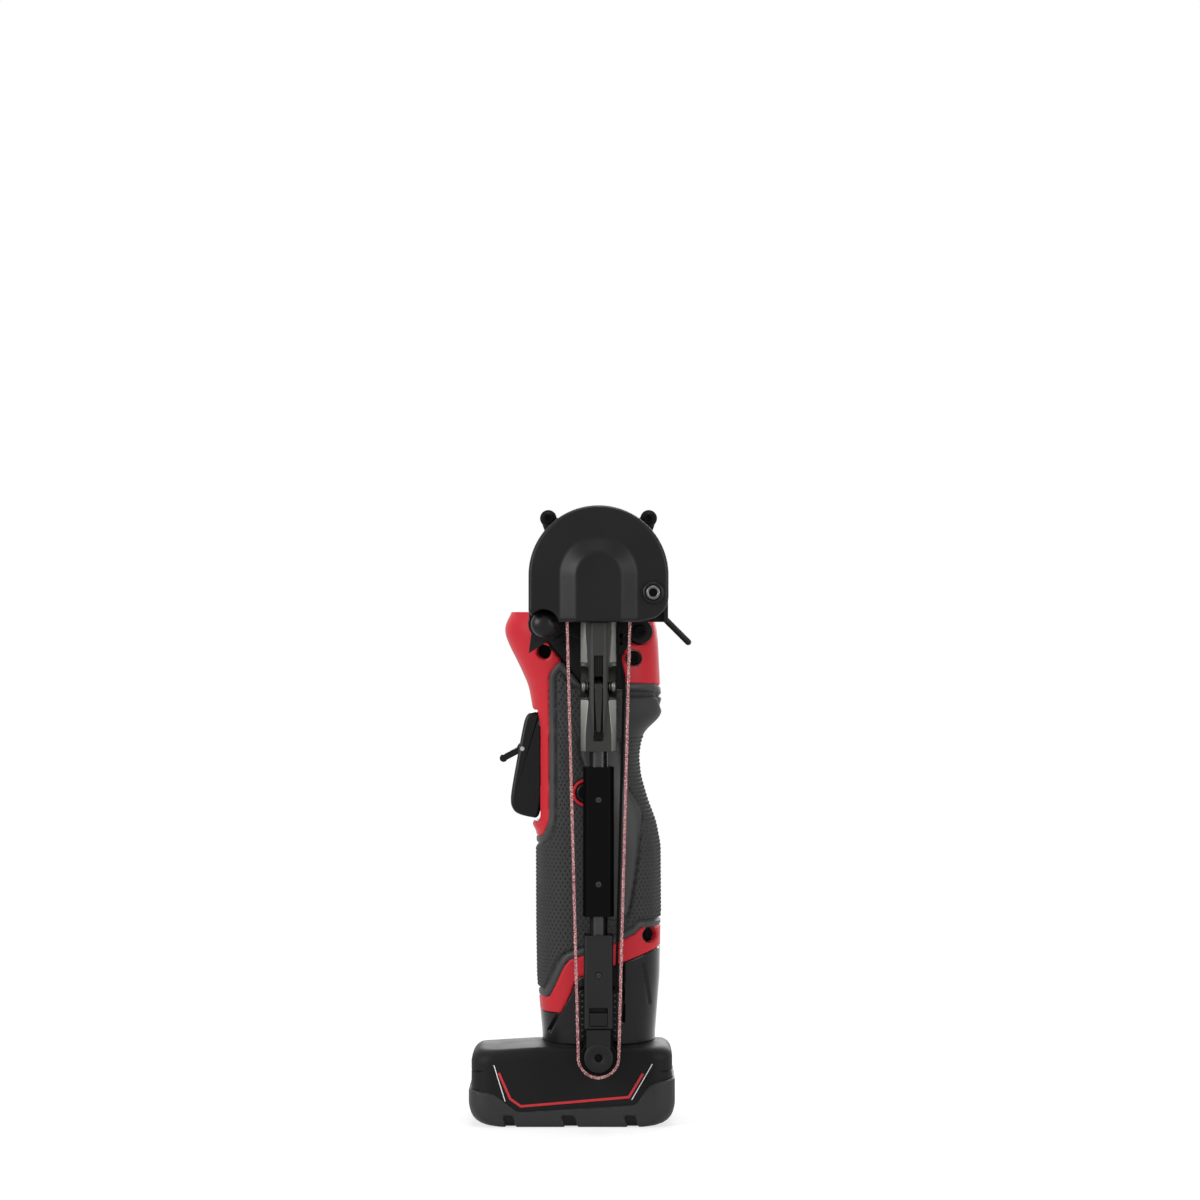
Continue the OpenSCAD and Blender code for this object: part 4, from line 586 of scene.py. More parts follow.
TONGUE_OUTLINE = [(x * HANDLE_W / 2, AXIS_Z - z * NECK_DROP) for x, z in (
    (-0.900, 0.680), (-0.863, 0.736), (-0.298, 1.236), (0.412, 1.300), (0.380, 0.917), (0.560, 0.708),
    (0.560, 0.680))]
PADDLE_TOP, PADDLE_L, PADDLE_HALF_W = 169.35, 43.0, 11.0
OPENING_SIDE, OPENING_END, OPENING_DROP, OPENING_RIGHT = 0.3, 1.5, 0.5, -10.0
SCREW_PLACES, CASE_FIX, RECESS_R = ((-22.7, 194.55), (21.34, 77.65)), (14.6, 192.0), 3.1
BUTTON_X, BUTTON_Z, BEZEL_R = -5.0, 136.625, 5.8


def paddle_well(place):
    """Distance to the opening that the paddle sits in, on the left side only."""
    middle = PADDLE_TOP - PADDLE_L / 2 - OPENING_DROP
    across = np.abs(place[..., 1]) - PADDLE_HALF_W - OPENING_SIDE
    upward = np.abs(place[..., 2] - middle) - PADDLE_L / 2 - OPENING_END
    return np.where(place[..., 0] < OPENING_RIGHT, np.maximum(across, upward), FAR)


def handle_cuts(place):
    """Distance to what opens the handle: gear case, its ears and tongues, screws, paddle and button."""
    cuts = [disc_distance(place, 0, AXIS_Z, CASE_CLEAR_R), outline_distance(place, TONGUE_OUTLINE) - CUT_GAP,
            paddle_well(place)]
    cuts += [disc_distance(place, s * EAR_X, AXIS_Z - EAR_DROP, EAR_CLEAR_R) for s in (-1, 1)]
    holes = [disc_distance(place, x, z, RECESS_R) for x, z in (*SCREW_PLACES, CASE_FIX)]
    holes.append(disc_distance(place, BUTTON_X, BUTTON_Z, BEZEL_R + CUT_GAP))
    return np.minimum(np.min(cuts, 0), np.where(place[..., 1] < 0, np.min(holes, 0), FAR))


def handle_grid(half, spacing=0.62, low=0.0, high=1.0):
    """Places round a half of the handle and up it, a spacing apart."""
    around = np.linspace(*half, int(HANDLE_ROUND * (half[1] - half[0]) / spacing))
    count = int((high - low) * HANDLE_H / spacing)
    return around, np.linspace(HANDLE_Z + low * HANDLE_H, HANDLE_Z + high * HANDLE_H, count)


# Shells: two halves moulded in red nylon and screwed together, red where the rubber leaves them bare.
# The parting line runs up both sides; deep screw wells open to the front.
red_plastic = finish("red_moulding", (0.355, 0.0150, 0.0225), 0.40, grain=1500, depth=0.012, tone=0.06, gloss=0.09)
PARTING_DEPTH, PARTING_HALF, SHELL_ROUND, SHELL_WALL = 0.16, 0.5, 0.55, 2.2


def bare_shell(place):
    bare = np.maximum(-outline_distance(place, GRIP_OUTLINE), -outline_distance(place, SLEEVE_OUTLINE))
    return np.maximum(bare, -handle_cuts(place))


def parted(place, depth, radius):
    """The drop of an edge rounded to that radius, and of the groove where the two halves part."""
    return rolled(depth, radius) - PARTING_DEPTH * np.clip(1 - np.abs(place[:, 1]) / PARTING_HALF, 0, 1)


for name, half in HALVES.items():
    bare = skin(handle_point, *handle_grid(half), bare_shell,
                lambda place, depth: parted(place, depth, SHELL_ROUND), wall=SHELL_WALL)
    new_piece(name + "_red_shell", *bare, red_plastic, "body", "red_plastic", name + "_shell")

# Shell top: the shells turn in at the top of the flare and close it against the round gear case.
# Each shell has one half, set in a little from the rim.
LID_Z, LID_T, LID_INSET, LID_EDGE, LID_STEPS = 209.9, 1.5, 1.0, -22.9, 720
rim_loop = handle_point(np.linspace(0, 1, LID_STEPS, endpoint=False), np.full(LID_STEPS, LID_Z))[:, :2]
rim_loop -= LID_INSET * rim_loop / np.linalg.norm(rim_loop, axis=1)[:, None]
for name, side in SIDES.items():
    half = rim_loop[(rim_loop[:, 0] < LID_EDGE) & (side * rim_loop[:, 1] > 0)]
    half = half[np.argsort(half[:, 0])]
    half = np.vstack([(half[0, 0], 0.0), half, (LID_EDGE, half[-1, 1]), (LID_EDGE, 0.0)])
    lid = through([level(half if side < 0 else half[::-1], z) for z in (LID_Z - LID_T, LID_Z)])
    new_piece(name + "_shell_top", *lid, red_plastic, "body", "red_plastic")

# Screw wells: sleeves moulded into the front shell, deep enough to sink the screw heads, black as painted shade in the
# deep holes.
# Each ends in a flat seat with a hole for the shank.
SHELL_SEAT, CASE_FIX_SEAT, SEAT_T, SHANK_HOLE_R = -8.0, -17.0, 1.2, 1.6
WELL_TUBE, WELL_INSET, WELL_LEAST = 0.35, 0.5, 0.2


def front_of_handle(x, z):
    """The handle's front face in Y at a place in X and Z."""
    share = (z - HANDLE_Z) / HANDLE_H
    reach = HANDLE_W / 2 * np.where(x < 0, eased(share, 1), eased(share, 2))
    bow = np.clip(1 - np.abs(x / reach) ** SECTION_POWER, 0, 1) ** (1 / SECTION_POWER)
    return -HANDLE_D / 2 * eased(share, 3) * bow


def well(x, z, seat, count=48):
    """A sleeve from just under the handle's face to its seat, with a hole for the shank."""
    angles = once_round(count)
    outer, rings = RECESS_R + WELL_TUBE, []
    for r, y in ((outer, None), (RECESS_R, None), (RECESS_R, seat), (SHANK_HOLE_R, seat),
                 (SHANK_HOLE_R, seat + SEAT_T), (outer, seat + SEAT_T)):
        xs, zs = x + r * np.cos(angles), z + r * np.sin(angles)
        mouth = np.minimum(front_of_handle(xs, zs) + WELL_INSET, seat - WELL_LEAST)
        rings.append(np.column_stack([xs, mouth if y is None else np.full(count, y), zs]))
    return through(rings, capped=False)


wells = joined(*(well(x, z, SHELL_SEAT) for x, z in SCREW_PLACES), well(*CASE_FIX, CASE_FIX_SEAT))
new_piece("screw_wells", *wells, black_plastic, "body", "black_plastic")

# Grip: soft dark rubber moulded over the shells, with a smooth border that a groove sets off.
# The field inside it carries small raised pips; a smooth panel and the thumb bump stay plain.
grip_rubber = finish("grip_rubber", (0.0180, 0.0182, 0.0190), 0.62, grain=1000, depth=0.03, tone=0.1, gloss=0.22)
smooth_rubber = finish(
    "smooth_rubber", (0.0265, 0.0267, 0.0275), 0.5, grain=1200, depth=0.015, tone=0.06, gloss=0.22)
BORDER, GROOVE_DEPTH, GROOVE_HALF, GROOVE_FLAT = 3.1, 0.95, 0.85, 1.15
RUBBER_ROUND, RUBBER_WALL, RUBBER_LOW, RUBBER_HIGH = 0.5, 1.4, 0.08, 0.9
PANEL = smoothed([
    (-8.4, 159.7), (-6.8, 149.4), (-3.5, 142.8), (-1.8, 133.8), (-2.7, 113.3), (-1.8, 92.7), (0.6, 84.4), (9.7, 84.4),
    (12.5, 86.5), (15.8, 105.9), (17.7, 124.8), (17.5, 129.3), (11.3, 139.6), (9.2, 150.2), (8.4, 159.7)], 2, 0.2)
PANEL_DEPTH, PANEL_EASE, TEXTURE_GAP = 0.35, 0.6, 0.9
BUMP_TOP, BUMP_LOW, BUMP_LEFT, BUMP_OFF = 176.2, 160.5, 9.0, 5.0


def rubber(place):
    return np.maximum(outline_distance(place, GRIP_OUTLINE), -handle_cuts(place))


def border_line(place):
    return outline_distance(place, GRIP_OUTLINE) + BORDER


def panel_line(place):
    return outline_distance(place, PANEL)


def bump_line(place):
    return np.where(place[..., 0] > BUMP_LEFT, place[..., 2] - BUMP_TOP, BUMP_OFF)


GROOVES = (border_line, panel_line, bump_line)


def rubber_rise(place, depth):
    lift = parted(place, depth, RUBBER_ROUND)
    for line in GROOVES:
        lift -= GROOVE_DEPTH * np.clip(GROOVE_FLAT - np.abs(line(place)) / GROOVE_HALF, 0, 1)
    return lift - PANEL_DEPTH * np.clip(-panel_line(place) / PANEL_EASE, 0, 1)


def textured(place):
    """Where the rubber has pips: inside the border, off the panel, the bump and the openings."""
    field = np.minimum(-border_line(place), panel_line(place))
    bump = (place[..., 0] > BUMP_LEFT) & (place[..., 2] > BUMP_LOW)
    return np.where(bump, -1.0, np.minimum(field, handle_cuts(place))) > TEXTURE_GAP


for name, half in HALVES.items():
    cover = skin(handle_point, *handle_grid(half, low=RUBBER_LOW, high=RUBBER_HIGH), rubber, rubber_rise,
                 wall=RUBBER_WALL, lines=GROOVES)
    grip = new_piece(name + "_rubber_grip", *cover, grip_rubber, "body", "grip_rubber", name + "_grip")
    grip.data.materials.append(smooth_rubber)
    middles = np.zeros(3 * len(grip.data.polygons))
    grip.data.polygons.foreach_get("center", middles)
    middles = middles.reshape(-1, 3) / MM
    plain = (border_line(middles) > 0) | (panel_line(middles) < 0)
    grip.data.polygons.foreach_set("material_index", plain.astype(np.int32))

# Grip pips: rows of low diamonds on the rubber, set half a pitch apart from row to row.
# Geometry Nodes put one on each place of the field, square to the surface.
PIP_PITCH, PIP_ROW, PIP_R, PIP_H, PIP_TOP, PIP_SINK = 1.85, 0.866, 0.78, 0.36, 0.35, 0.03
PIPS_FROM, PIPS_TO, PIPS_INSET = 14.0, 0.86, 0.004


def on_points(name, sizes):
    """A Geometry Nodes tree with inputs for points, sizes and a material, its sockets and its input node."""
    group = bpy.data.node_groups.new(name, "GeometryNodeTree")
    kinds = {"Points": "NodeSocketGeometry", **dict.fromkeys(sizes, FLOAT), "Material": "NodeSocketMaterial"}
    sockets = {label: group.interface.new_socket(label, in_out="INPUT", socket_type=kind)
               for label, kind in kinds.items()}
    group.interface.new_socket("Made", in_out="OUTPUT", socket_type="NodeSocketGeometry")
    return group, sockets, group.nodes.new("NodeGroupInput")


def set_out(group, put, shape):
    """Ends a tree: the shape on each point, turned to its facing attribute, made real and painted."""
    facing = add(group, "GeometryNodeInputNamedAttribute", {"Name": "facing"}, data_type="FLOAT_VECTOR")
    align = add(group, "FunctionNodeAlignRotationToVector", {"Vector": facing.outputs["Attribute"]}, axis="Z")
    place = add(group, "GeometryNodeInstanceOnPoints", {
        "Points": put.outputs["Points"], "Instance": shape, "Rotation": align})
    real = add(group, "GeometryNodeRealizeInstances", {0: place})
    paint = add(group, "GeometryNodeSetMaterial", {"Geometry": real, "Material": put.outputs["Material"]})
    add(group, "NodeGroupOutput", {"Made": paint})


def scaled(group, value, share):
    """A node for a share of a value."""
    return add(group, "ShaderNodeMath", {0: value, 1: share}, operation="MULTIPLY")


def grown(name, points, facings, group, sockets, values):
    """The mesh that a Geometry Nodes tree makes of points with facings."""
    seeds = plain_mesh(points, [])
    facing = seeds.attributes.new("facing", "FLOAT_VECTOR", "POINT")
    facing.data.foreach_set("vector", np.asarray(facings, np.float32).ravel())
    holder = placed(name + "_seeds", seeds)
    modifier = holder.modifiers.new("grow", "NODES")
    modifier.node_group = group
    for label, value in values.items():
        modifier[sockets[label].identifier] = value
    mesh = evaluated(holder)
    bpy.data.objects.remove(holder)
    bpy.data.meshes.remove(seeds)
    return mesh


pip_group, pip_sockets, put = on_points("grip_pips", ("Radius", "Height"))
pip = add(pip_group, "GeometryNodeMeshCone", {
    "Vertices": 4, "Side Segments": 2, "Radius Bottom": put.outputs["Radius"],
    "Radius Top": scaled(pip_group, put.outputs["Radius"], PIP_TOP), "Depth": put.outputs["Height"]}, fill_type="NGON")
set_out(pip_group, put, pip.outputs["Mesh"])
for name, half in HALVES.items():
    rows = np.arange(HANDLE_Z + PIPS_FROM, HANDLE_Z + PIPS_TO * HANDLE_H, PIP_PITCH * PIP_ROW)
    step = PIP_PITCH / HANDLE_ROUND
    seeds = np.array([(u, z) for k, z in enumerate(rows)
                      for u in np.arange(half[0] + PIPS_INSET + (k % 2) * step / 2, half[1] - PIPS_INSET, step)])
    u, z = seeds[textured(handle_point(*seeds.T))].T
    square = square_to(handle_point, u, z, 1e-4, 0.05)
    pips = grown(name + "_grip_pips", handle_point(u, z) - PIP_SINK * square, square, pip_group, pip_sockets,
                 {"Radius": PIP_R * MM, "Height": PIP_H * MM, "Material": grip_rubber})
    set_piece(name + "_grip_pips", pips, "body", "grip_rubber", sharp=25.0)

# Battery sleeve: a satin black collar at the foot of the handle that guides the battery's stem.
# Front and back are notched for the press tabs; inside is the socket for the stem.
LATCH_HALF_W, LATCH_TOP, SLEEVE_LOW, SLEEVE_HIGH, SLEEVE_ROUND = 8.8, 56.6, -0.016, 0.23, 0.5
SLOTS = (((-16.6, 45.2), (-20.3, 37.8)), ((10.1, 66.0), (10.1, 42.5)), ((18.7, 66.0), (21.2, 49.5)))
SLOT_DEPTH, SLOT_HALF, SLOT_FLAT, SLEEVE_STEP, SLEEVE_WALL = 0.9, 0.55, 1.4, 0.42, 1.8
SOCKET_OUT, SOCKET_IN, SOCKET_LOW, SOCKET_TOP = 1.3, 0.3, HANDLE_Z + 0.4, 105.5


def sleeve_part(place):
    tab = np.maximum(np.abs(place[..., 0]) - LATCH_HALF_W, place[..., 2] - LATCH_TOP)
    return np.maximum(outline_distance(place, SLEEVE_OUTLINE), -tab)


def sleeve_rise(place, depth):
    lift = parted(place, depth, SLEEVE_ROUND)
    for ends in SLOTS:
        lift -= SLOT_DEPTH * np.clip(SLOT_FLAT - segment_distance(place, *ends) / SLOT_HALF, 0, 1)
    return lift


sleeve_parts = [
    skin(handle_point, *handle_grid(half, SLEEVE_STEP, SLEEVE_LOW, SLEEVE_HIGH), sleeve_part, sleeve_rise,
         wall=SLEEVE_WALL)
    for half in HALVES.values()]
SOCKET_ROWS = ((SOCKET_OUT, SOCKET_LOW), (SOCKET_OUT, SOCKET_TOP), (SOCKET_IN, SOCKET_TOP), (SOCKET_IN, SOCKET_LOW))
socket = through([level(stem_loop(grow), z) for grow, z in SOCKET_ROWS], capped=False)
sleeve_black = finish("sleeve_moulding", (0.0045, 0.0045, 0.0048), 0.22, grain=1500, depth=0.006, gloss=0.2)
new_piece("battery_sleeve_moulding", *joined(*sleeve_parts, socket), sleeve_black, "body", "black_plastic",
          "battery_sleeve")

# Press tabs: two ribbed black tabs at the front and back of the sleeve that free the battery.
# They are moulded in one with the battery's spring tongue and stand a little proud.
TAB_HALF_W, TAB_LOW, TAB_TOP, TAB_FACE, TAB_T = 8.4, 34.2, 55.9, 24.3, 1.5
TAB_CORNER, TAB_ROUND, RIDGE_PITCH, RIDGE_H = 2.0, 0.8, 2.4, 0.55
RIDGE_STEEP, RIDGE_GAP, RIDGE_INSET, RIDGE_EASE = 1.6, 0.2, 1.4, 0.6


def tab_edge(place):
    dx = np.abs(place[..., 0]) - TAB_HALF_W + TAB_CORNER
    dz = np.abs(place[..., 2] - (TAB_LOW + TAB_TOP) / 2) - (TAB_TOP - TAB_LOW) / 2 + TAB_CORNER
    return np.hypot(np.maximum(dx, 0), np.maximum(dz, 0)) + np.minimum(np.maximum(dx, dz), 0) - TAB_CORNER


def tab_rise(place, depth):
    wave = RIDGE_STEEP * np.cos((place[:, 2] - TAB_LOW) * 2 * math.pi / RIDGE_PITCH) - RIDGE_GAP
    return rolled(depth, TAB_ROUND) + RIDGE_H * np.clip(wave, 0, 1) * np.clip((depth - RIDGE_INSET) / RIDGE_EASE, 0, 1)


for name, side in SIDES.items():
    tab = skin(lambda u, v: np.stack([-side * u, np.full(np.shape(u), side * TAB_FACE), v], -1),
               np.linspace(-TAB_HALF_W, TAB_HALF_W, 60), np.linspace(TAB_LOW, TAB_TOP, 110), tab_edge, tab_rise,
               wall=TAB_T)
    new_piece(name + "_press_tab", *tab, black_plastic, name + "_latch", "black_plastic", name + "_latch")

# Paddle well: the red shells fold in behind the paddle as a shallow box, one half in each shell.
# It closes the handle there, so that the switch behind the paddle stays clean.
WELL_BACK, WELL_LIP, WELL_HALF_W, WELL_LOW, WELL_TOP, WELL_WALL = -18.25, -23.6, 11.3, 124.35, 170.35, 1.0


def brick(x, y, z):
    """A box from one place to another in X, Y and Z."""
    points = [(x[i], y[j], z[k]) for i in (0, 1) for j in (0, 1) for k in (0, 1)]
    return points, [(0, 1, 3, 2), (4, 6, 7, 5), (0, 4, 5, 1), (2, 3, 7, 6), (0, 2, 6, 4), (1, 5, 7, 3)]


well_low, well_top, well_deep = WELL_LOW - WELL_WALL, WELL_TOP + WELL_WALL, (WELL_LIP, WELL_BACK)
for name, side in SIDES.items():
    outside = side * (WELL_HALF_W + WELL_WALL)
    across, flank = sorted((0.0, outside)), sorted((side * WELL_HALF_W, outside))
    walls = joined(brick((WELL_BACK, WELL_BACK + WELL_WALL), across, (well_low, well_top)),
                   brick(well_deep, flank, (well_low, well_top)), brick(well_deep, across, (well_low, WELL_LOW)),
                   brick(well_deep, across, (WELL_TOP, well_top)))
    new_piece(name + "_paddle_well", *walls, red_plastic, "body", "red_plastic")

# Paddle: a long black lever that the fingers squeeze against the left side of the handle.
# It is moulded with full round edges, and has a window for the lock-off lever and a pocket over the switch.
PADDLE_OUTLINE = [(-23.2, 168.6), (-25.2, 169.3), (-28.3, 169.3), (-30.2, 167.8), (-31.4, 163.5), (-36.4, 136.0),
                  (-36.45, 131.0), (-34.8, 128.0), (-31.5, 126.5), (-23.2, 125.0)]
LOCK_DROP, LOCK_WINDOW_H, LOCK_WINDOW_HALF_W, PADDLE_SIDE_GAP, PADDLE_ROUND = 15.0, 13.0, 4.3, 0.8, 1.5
WINDOW_X, POCKET_X, POCKET_Y, POCKET_Z = (-45.0, -15.0), (-24.2, -15.0), (-3.0, 3.0), (142.0, 149.5)


def cut_and_rounded(mesh, cutters=(), width=0.3, segments=2, angle=32.0):
    """The mesh with cutter meshes taken out of it and its sharp edges rounded to a width in millimetres."""
    holder, *tools = (placed("work", work) for work in (mesh, *cutters))
    for tool in tools:
        cut = holder.modifiers.new("cut", "BOOLEAN")
        cut.operation, cut.solver, cut.object = "DIFFERENCE", "EXACT", tool
    edges = holder.modifiers.new("edges", "BEVEL")
    edges.width, edges.segments, edges.limit_method = width * MM, segments, "ANGLE"
    edges.angle_limit, edges.use_clamp_overlap = math.radians(angle), False
    made = evaluated(holder)
    for thing in (holder, *tools):
        old = thing.data
        bpy.data.objects.remove(thing)
        bpy.data.meshes.remove(old)
    return made


def plate_y(outline, y_from, y_to):
    """A plate with an outline in X and Z, between two places in Y."""
    outline = np.asarray(outline, float)
    points, faces = through([np.insert(outline, 1, y, axis=1) for y in (y_from, y_to)])
    around = np.sum(outline[:, 0] * np.roll(outline[:, 1], -1) - np.roll(outline[:, 0], -1) * outline[:, 1])
    return points, faces if around < 0 else [f[::-1] for f in faces]


lock_z, paddle_side = PADDLE_TOP - LOCK_DROP, PADDLE_HALF_W - PADDLE_SIDE_GAP
window = brick(WINDOW_X, (-LOCK_WINDOW_HALF_W, LOCK_WINDOW_HALF_W),
               (lock_z - LOCK_WINDOW_H / 2, lock_z + LOCK_WINDOW_H / 2))
cutters = [plain_mesh(*opening) for opening in (window, brick(POCKET_X, POCKET_Y, POCKET_Z))]
paddle = plain_mesh(*plate_y(smoothed(PADDLE_OUTLINE, 3, 0.2), -paddle_side, paddle_side), black_plastic)
set_piece("paddle_lever", cut_and_rounded(paddle, cutters, PADDLE_ROUND, 5, 50.0), "paddle", "black_plastic",
          "paddle", even=True)

# Paddle pin: a short blackened steel pin that the paddle swings on.
# Its ends are rounded and lie flush in the shells.
black_oxide = finish(
    "black_oxide", (0.010, 0.010, 0.011), 0.2, grain=300, depth=0.003, tone=0.08, stretch=(1, 1, 0.1), gloss=0.5)
PADDLE_PIN, PADDLE_PIN_R, PADDLE_PIN_END, PADDLE_PIN_EDGE = (-23.85, 164.85), 1.2, 11.9, 0.3


def lathe_y(x, z, profile, count=64, face=0.0):
    """A turned solid about a line along Y: profile is (radius, y from the face), from the axis out and back to it.

    A radius may be an array, with one for each step round.
    """
    angles = once_round(count)
    points, faces, rows = [], [], []
    for r, y in profile:
        if np.max(r) < 1e-6:
            rows.append([len(points)] * count)
            points.append((x, face + y, z))
        else:
            rows.append(list(range(len(points), len(points) + count)))
            points += zip(x + r * np.cos(angles), [face + y] * count, z + r * np.sin(angles))
    for low, high in zip(rows, rows[1:]):
        for i in range(count):
            ring = [low[i], high[i], high[(i + 1) % count], low[(i + 1) % count]]
            faces.append([p for k, p in enumerate(ring) if p != ring[k - 1]])
    return points, faces


half_pin = [(PADDLE_PIN_R, PADDLE_PIN_END - PADDLE_PIN_EDGE), (PADDLE_PIN_R - PADDLE_PIN_EDGE, PADDLE_PIN_END),
            (0.0, PADDLE_PIN_END)]
pivot = lathe_y(*PADDLE_PIN, [(r, -y) for r, y in reversed(half_pin)] + half_pin, 32)
new_piece("paddle_pivot_pin", *pivot, black_oxide, "body", "bright_steel", "paddle_pin")

# Pieces that keep their CAD shape: castings, turned parts and small levers, with edges broken.
# Each gets the finish of its own metal, plastic or coating.
SAME_POINT, FLAT_ANGLE = 2e-6, 0.7


def broken_edges(node, name, material, slot, width=0.3, segments=2, angle=32.0, cutters=(), split=False):
    """A copy of a CAD node with its flat facets joined and its edges rounded, standing for the node.

    With split, faces of many corners are cut into triangles first.
    """
    source = frame["nodes"][node]
    work = bmesh.new()
    work.from_mesh(source.data)
    bmesh.ops.remove_doubles(work, verts=work.verts, dist=SAME_POINT)
    bmesh.ops.dissolve_limit(work, angle_limit=math.radians(FLAT_ANGLE), verts=work.verts, edges=work.edges)
    if split:
        bmesh.ops.triangulate(work, faces=[face for face in work.faces if len(face.verts) > 4])
    bmesh.ops.recalc_face_normals(work, faces=work.faces)
    mesh = plain_mesh([], [], material)
    work.to_mesh(mesh)
    work.free()
    mesh = cut_and_rounded(mesh, cutters, width, segments, angle)
    return set_piece(name, mesh, source["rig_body"], slot, node, even=True)


black_case = finish("black_casting", (0.0060, 0.0060, 0.0063), 0.48, grain=900, depth=0.03, gloss=0.15)
broken_edges("lock_off_lever", "lock_off_tab", black_plastic, "black_plastic", 0.25)
broken_edges("gear_case", "gear_case_casting", black_case, "black_casting", 0.5, 3)
broken_edges("gear_case_cover", "gear_cover_casting", black_case, "black_casting", 0.2)
broken_edges("guard_back", "guard_back_plate", black_case, "black_casting", 0.35)
broken_edges("arm_lock_lever", "swivel_lock_lever", black_case, "black_casting", 0.35)

# Speed button: a dark round button in a red ring, low in the front of the handle.
# The ring is pressed into the shell, and the button's face is dished for a fingertip.
BUTTON_FACE, BEZEL_L, BUTTON_L = -22.25, 6.25, 6.05
bezel = lathe_y(BUTTON_X, BUTTON_Z, [
    (4.5, BEZEL_L), (4.5, 0.1), (4.65, -0.25), (5.0, -0.42), (5.4, -0.38), (5.7, -0.1), (5.78, 0.3), (5.78, BEZEL_L),
    (4.5, BEZEL_L)], face=BUTTON_FACE)
new_piece("button_ring", *bezel, red_plastic, "body", "red_plastic", "button_bezel")
button = lathe_y(BUTTON_X, BUTTON_Z, [
    (0.0, -0.12), (1.6, -0.18), (2.9, -0.42), (3.6, -0.5), (4.0, -0.3), (4.15, 0.2), (4.15, BUTTON_L),
    (0.0, BUTTON_L)], face=BUTTON_FACE)
new_piece("speed_button_cap", *button, black_plastic, "speed_button", "black_plastic", "speed_button", sharp=50.0)

# Belt guard cover: a black moulded D with a raised arch over the drive wheel, open below for the arm.
# One long socket screw holds it, through a sleeve at its lower right corner.
GUARD_R, GUARD_DROP, GUARD_FACE, GUARD_SEAM, GUARD_T = 28.3, 18.9, -52.0, -41.05, 2.0
GUARD_ROUND, GUARD_MARGIN, SIDE_FROM, SIDE_INSET = 1.5, 0.5, 1.4, 0.05
ARCH_R, ARCH_RAMP, ARCH_H, ARCH_EASE = 15.6, 6.4, 4.0, 0.13
KNOB_X, KNOB_Z, KNOB_R, KNOB_GAP = -22.0, AXIS_Z - 19.7, 5.4, 0.35
FIX_X, FIX_Z, FIX_SLEEVE_R, FIX_HOLE_R = 22.0, AXIS_Z - 7.0, 4.5, 2.9
guard_arc = np.linspace(0, math.pi, 73)
corner_arc = np.linspace(-math.pi / 2 + 0.25, 0, 13)
CORNER_R, CORNER_DROP = 9.5, 8.5
GUARD_LOOP = np.array(
    [(GUARD_R * math.cos(a), AXIS_Z + GUARD_R * math.sin(a)) for a in guard_arc]
    + [(-GUARD_R, AXIS_Z - 14.5), (-GUARD_R + 1.2, AXIS_Z - 16.4), (-ARCH_R - 1, AXIS_Z - GUARD_DROP),
       (ARCH_R, AXIS_Z - GUARD_DROP)]
    + [(GUARD_R - CORNER_R + CORNER_R * math.cos(a), AXIS_Z - CORNER_DROP + CORNER_R * math.sin(a))
       for a in corner_arc])


def guard_edge(place):
    return np.maximum(outline_distance(place, GUARD_LOOP), -disc_distance(place, KNOB_X, KNOB_Z, KNOB_R + KNOB_GAP))


def arch(place):
    """Height of the raised arch over the cover's face."""
    x, z = place[..., 0], place[..., 2] - AXIS_Z
    out = np.where(z > 0, np.hypot(x, z), np.abs(x)) - ARCH_R
    steps = np.linspace(-ARCH_EASE, ARCH_EASE, 7)
    return ARCH_H * sum(np.clip(-out / ARCH_RAMP + t, 0, 1) for t in steps) / 7


guard_front = skin(
    lambda u, v: np.stack([u, np.full(np.shape(u), GUARD_FACE), v], -1),
    np.linspace(-GUARD_R - GUARD_MARGIN, GUARD_R + GUARD_MARGIN, 110),
    np.linspace(AXIS_Z - GUARD_DROP - GUARD_MARGIN, AXIS_Z + GUARD_R + GUARD_MARGIN, 92), guard_edge,
    lambda place, depth: rolled(depth, GUARD_ROUND) + arch(place), wall=GUARD_T)
along = np.roll(GUARD_LOOP, -1, axis=0) - np.roll(GUARD_LOOP, 1, axis=0)
inward = np.column_stack([-along[:, 1], along[:, 0]]) / np.linalg.norm(along, axis=1)[:, None]
# The side runs from the lower right corner over the arc and ends at the left foot
run = np.arange(-len(corner_arc), len(guard_arc) + 1)[::-1]
side_out, side_in = (GUARD_LOOP[run] + inward[run] * inset for inset in (SIDE_INSET, GUARD_T))
side_front = GUARD_FACE + SIDE_FROM
guard_side = strip([(side_out, side_front), (side_out, GUARD_SEAM), (side_in, GUARD_SEAM), (side_in, side_front)])
sleeve_tube = lathe_y(FIX_X, FIX_Z, [
    (FIX_HOLE_R, GUARD_SEAM), (FIX_HOLE_R, -53.0), (3.1, -53.5), (3.6, -53.7), (4.1, -53.5), (FIX_SLEEVE_R, -52.9),
    (FIX_SLEEVE_R, GUARD_SEAM), (FIX_HOLE_R, GUARD_SEAM)])
guard_black = finish("guard_moulding", (0.0056, 0.0056, 0.0058), 0.40, grain=1300, depth=0.02, gloss=0.14)
new_piece("guard_cover_moulding", *joined(guard_front, guard_side, sleeve_tube), guard_black, "arm", "black_plastic",
          "guard_cover")

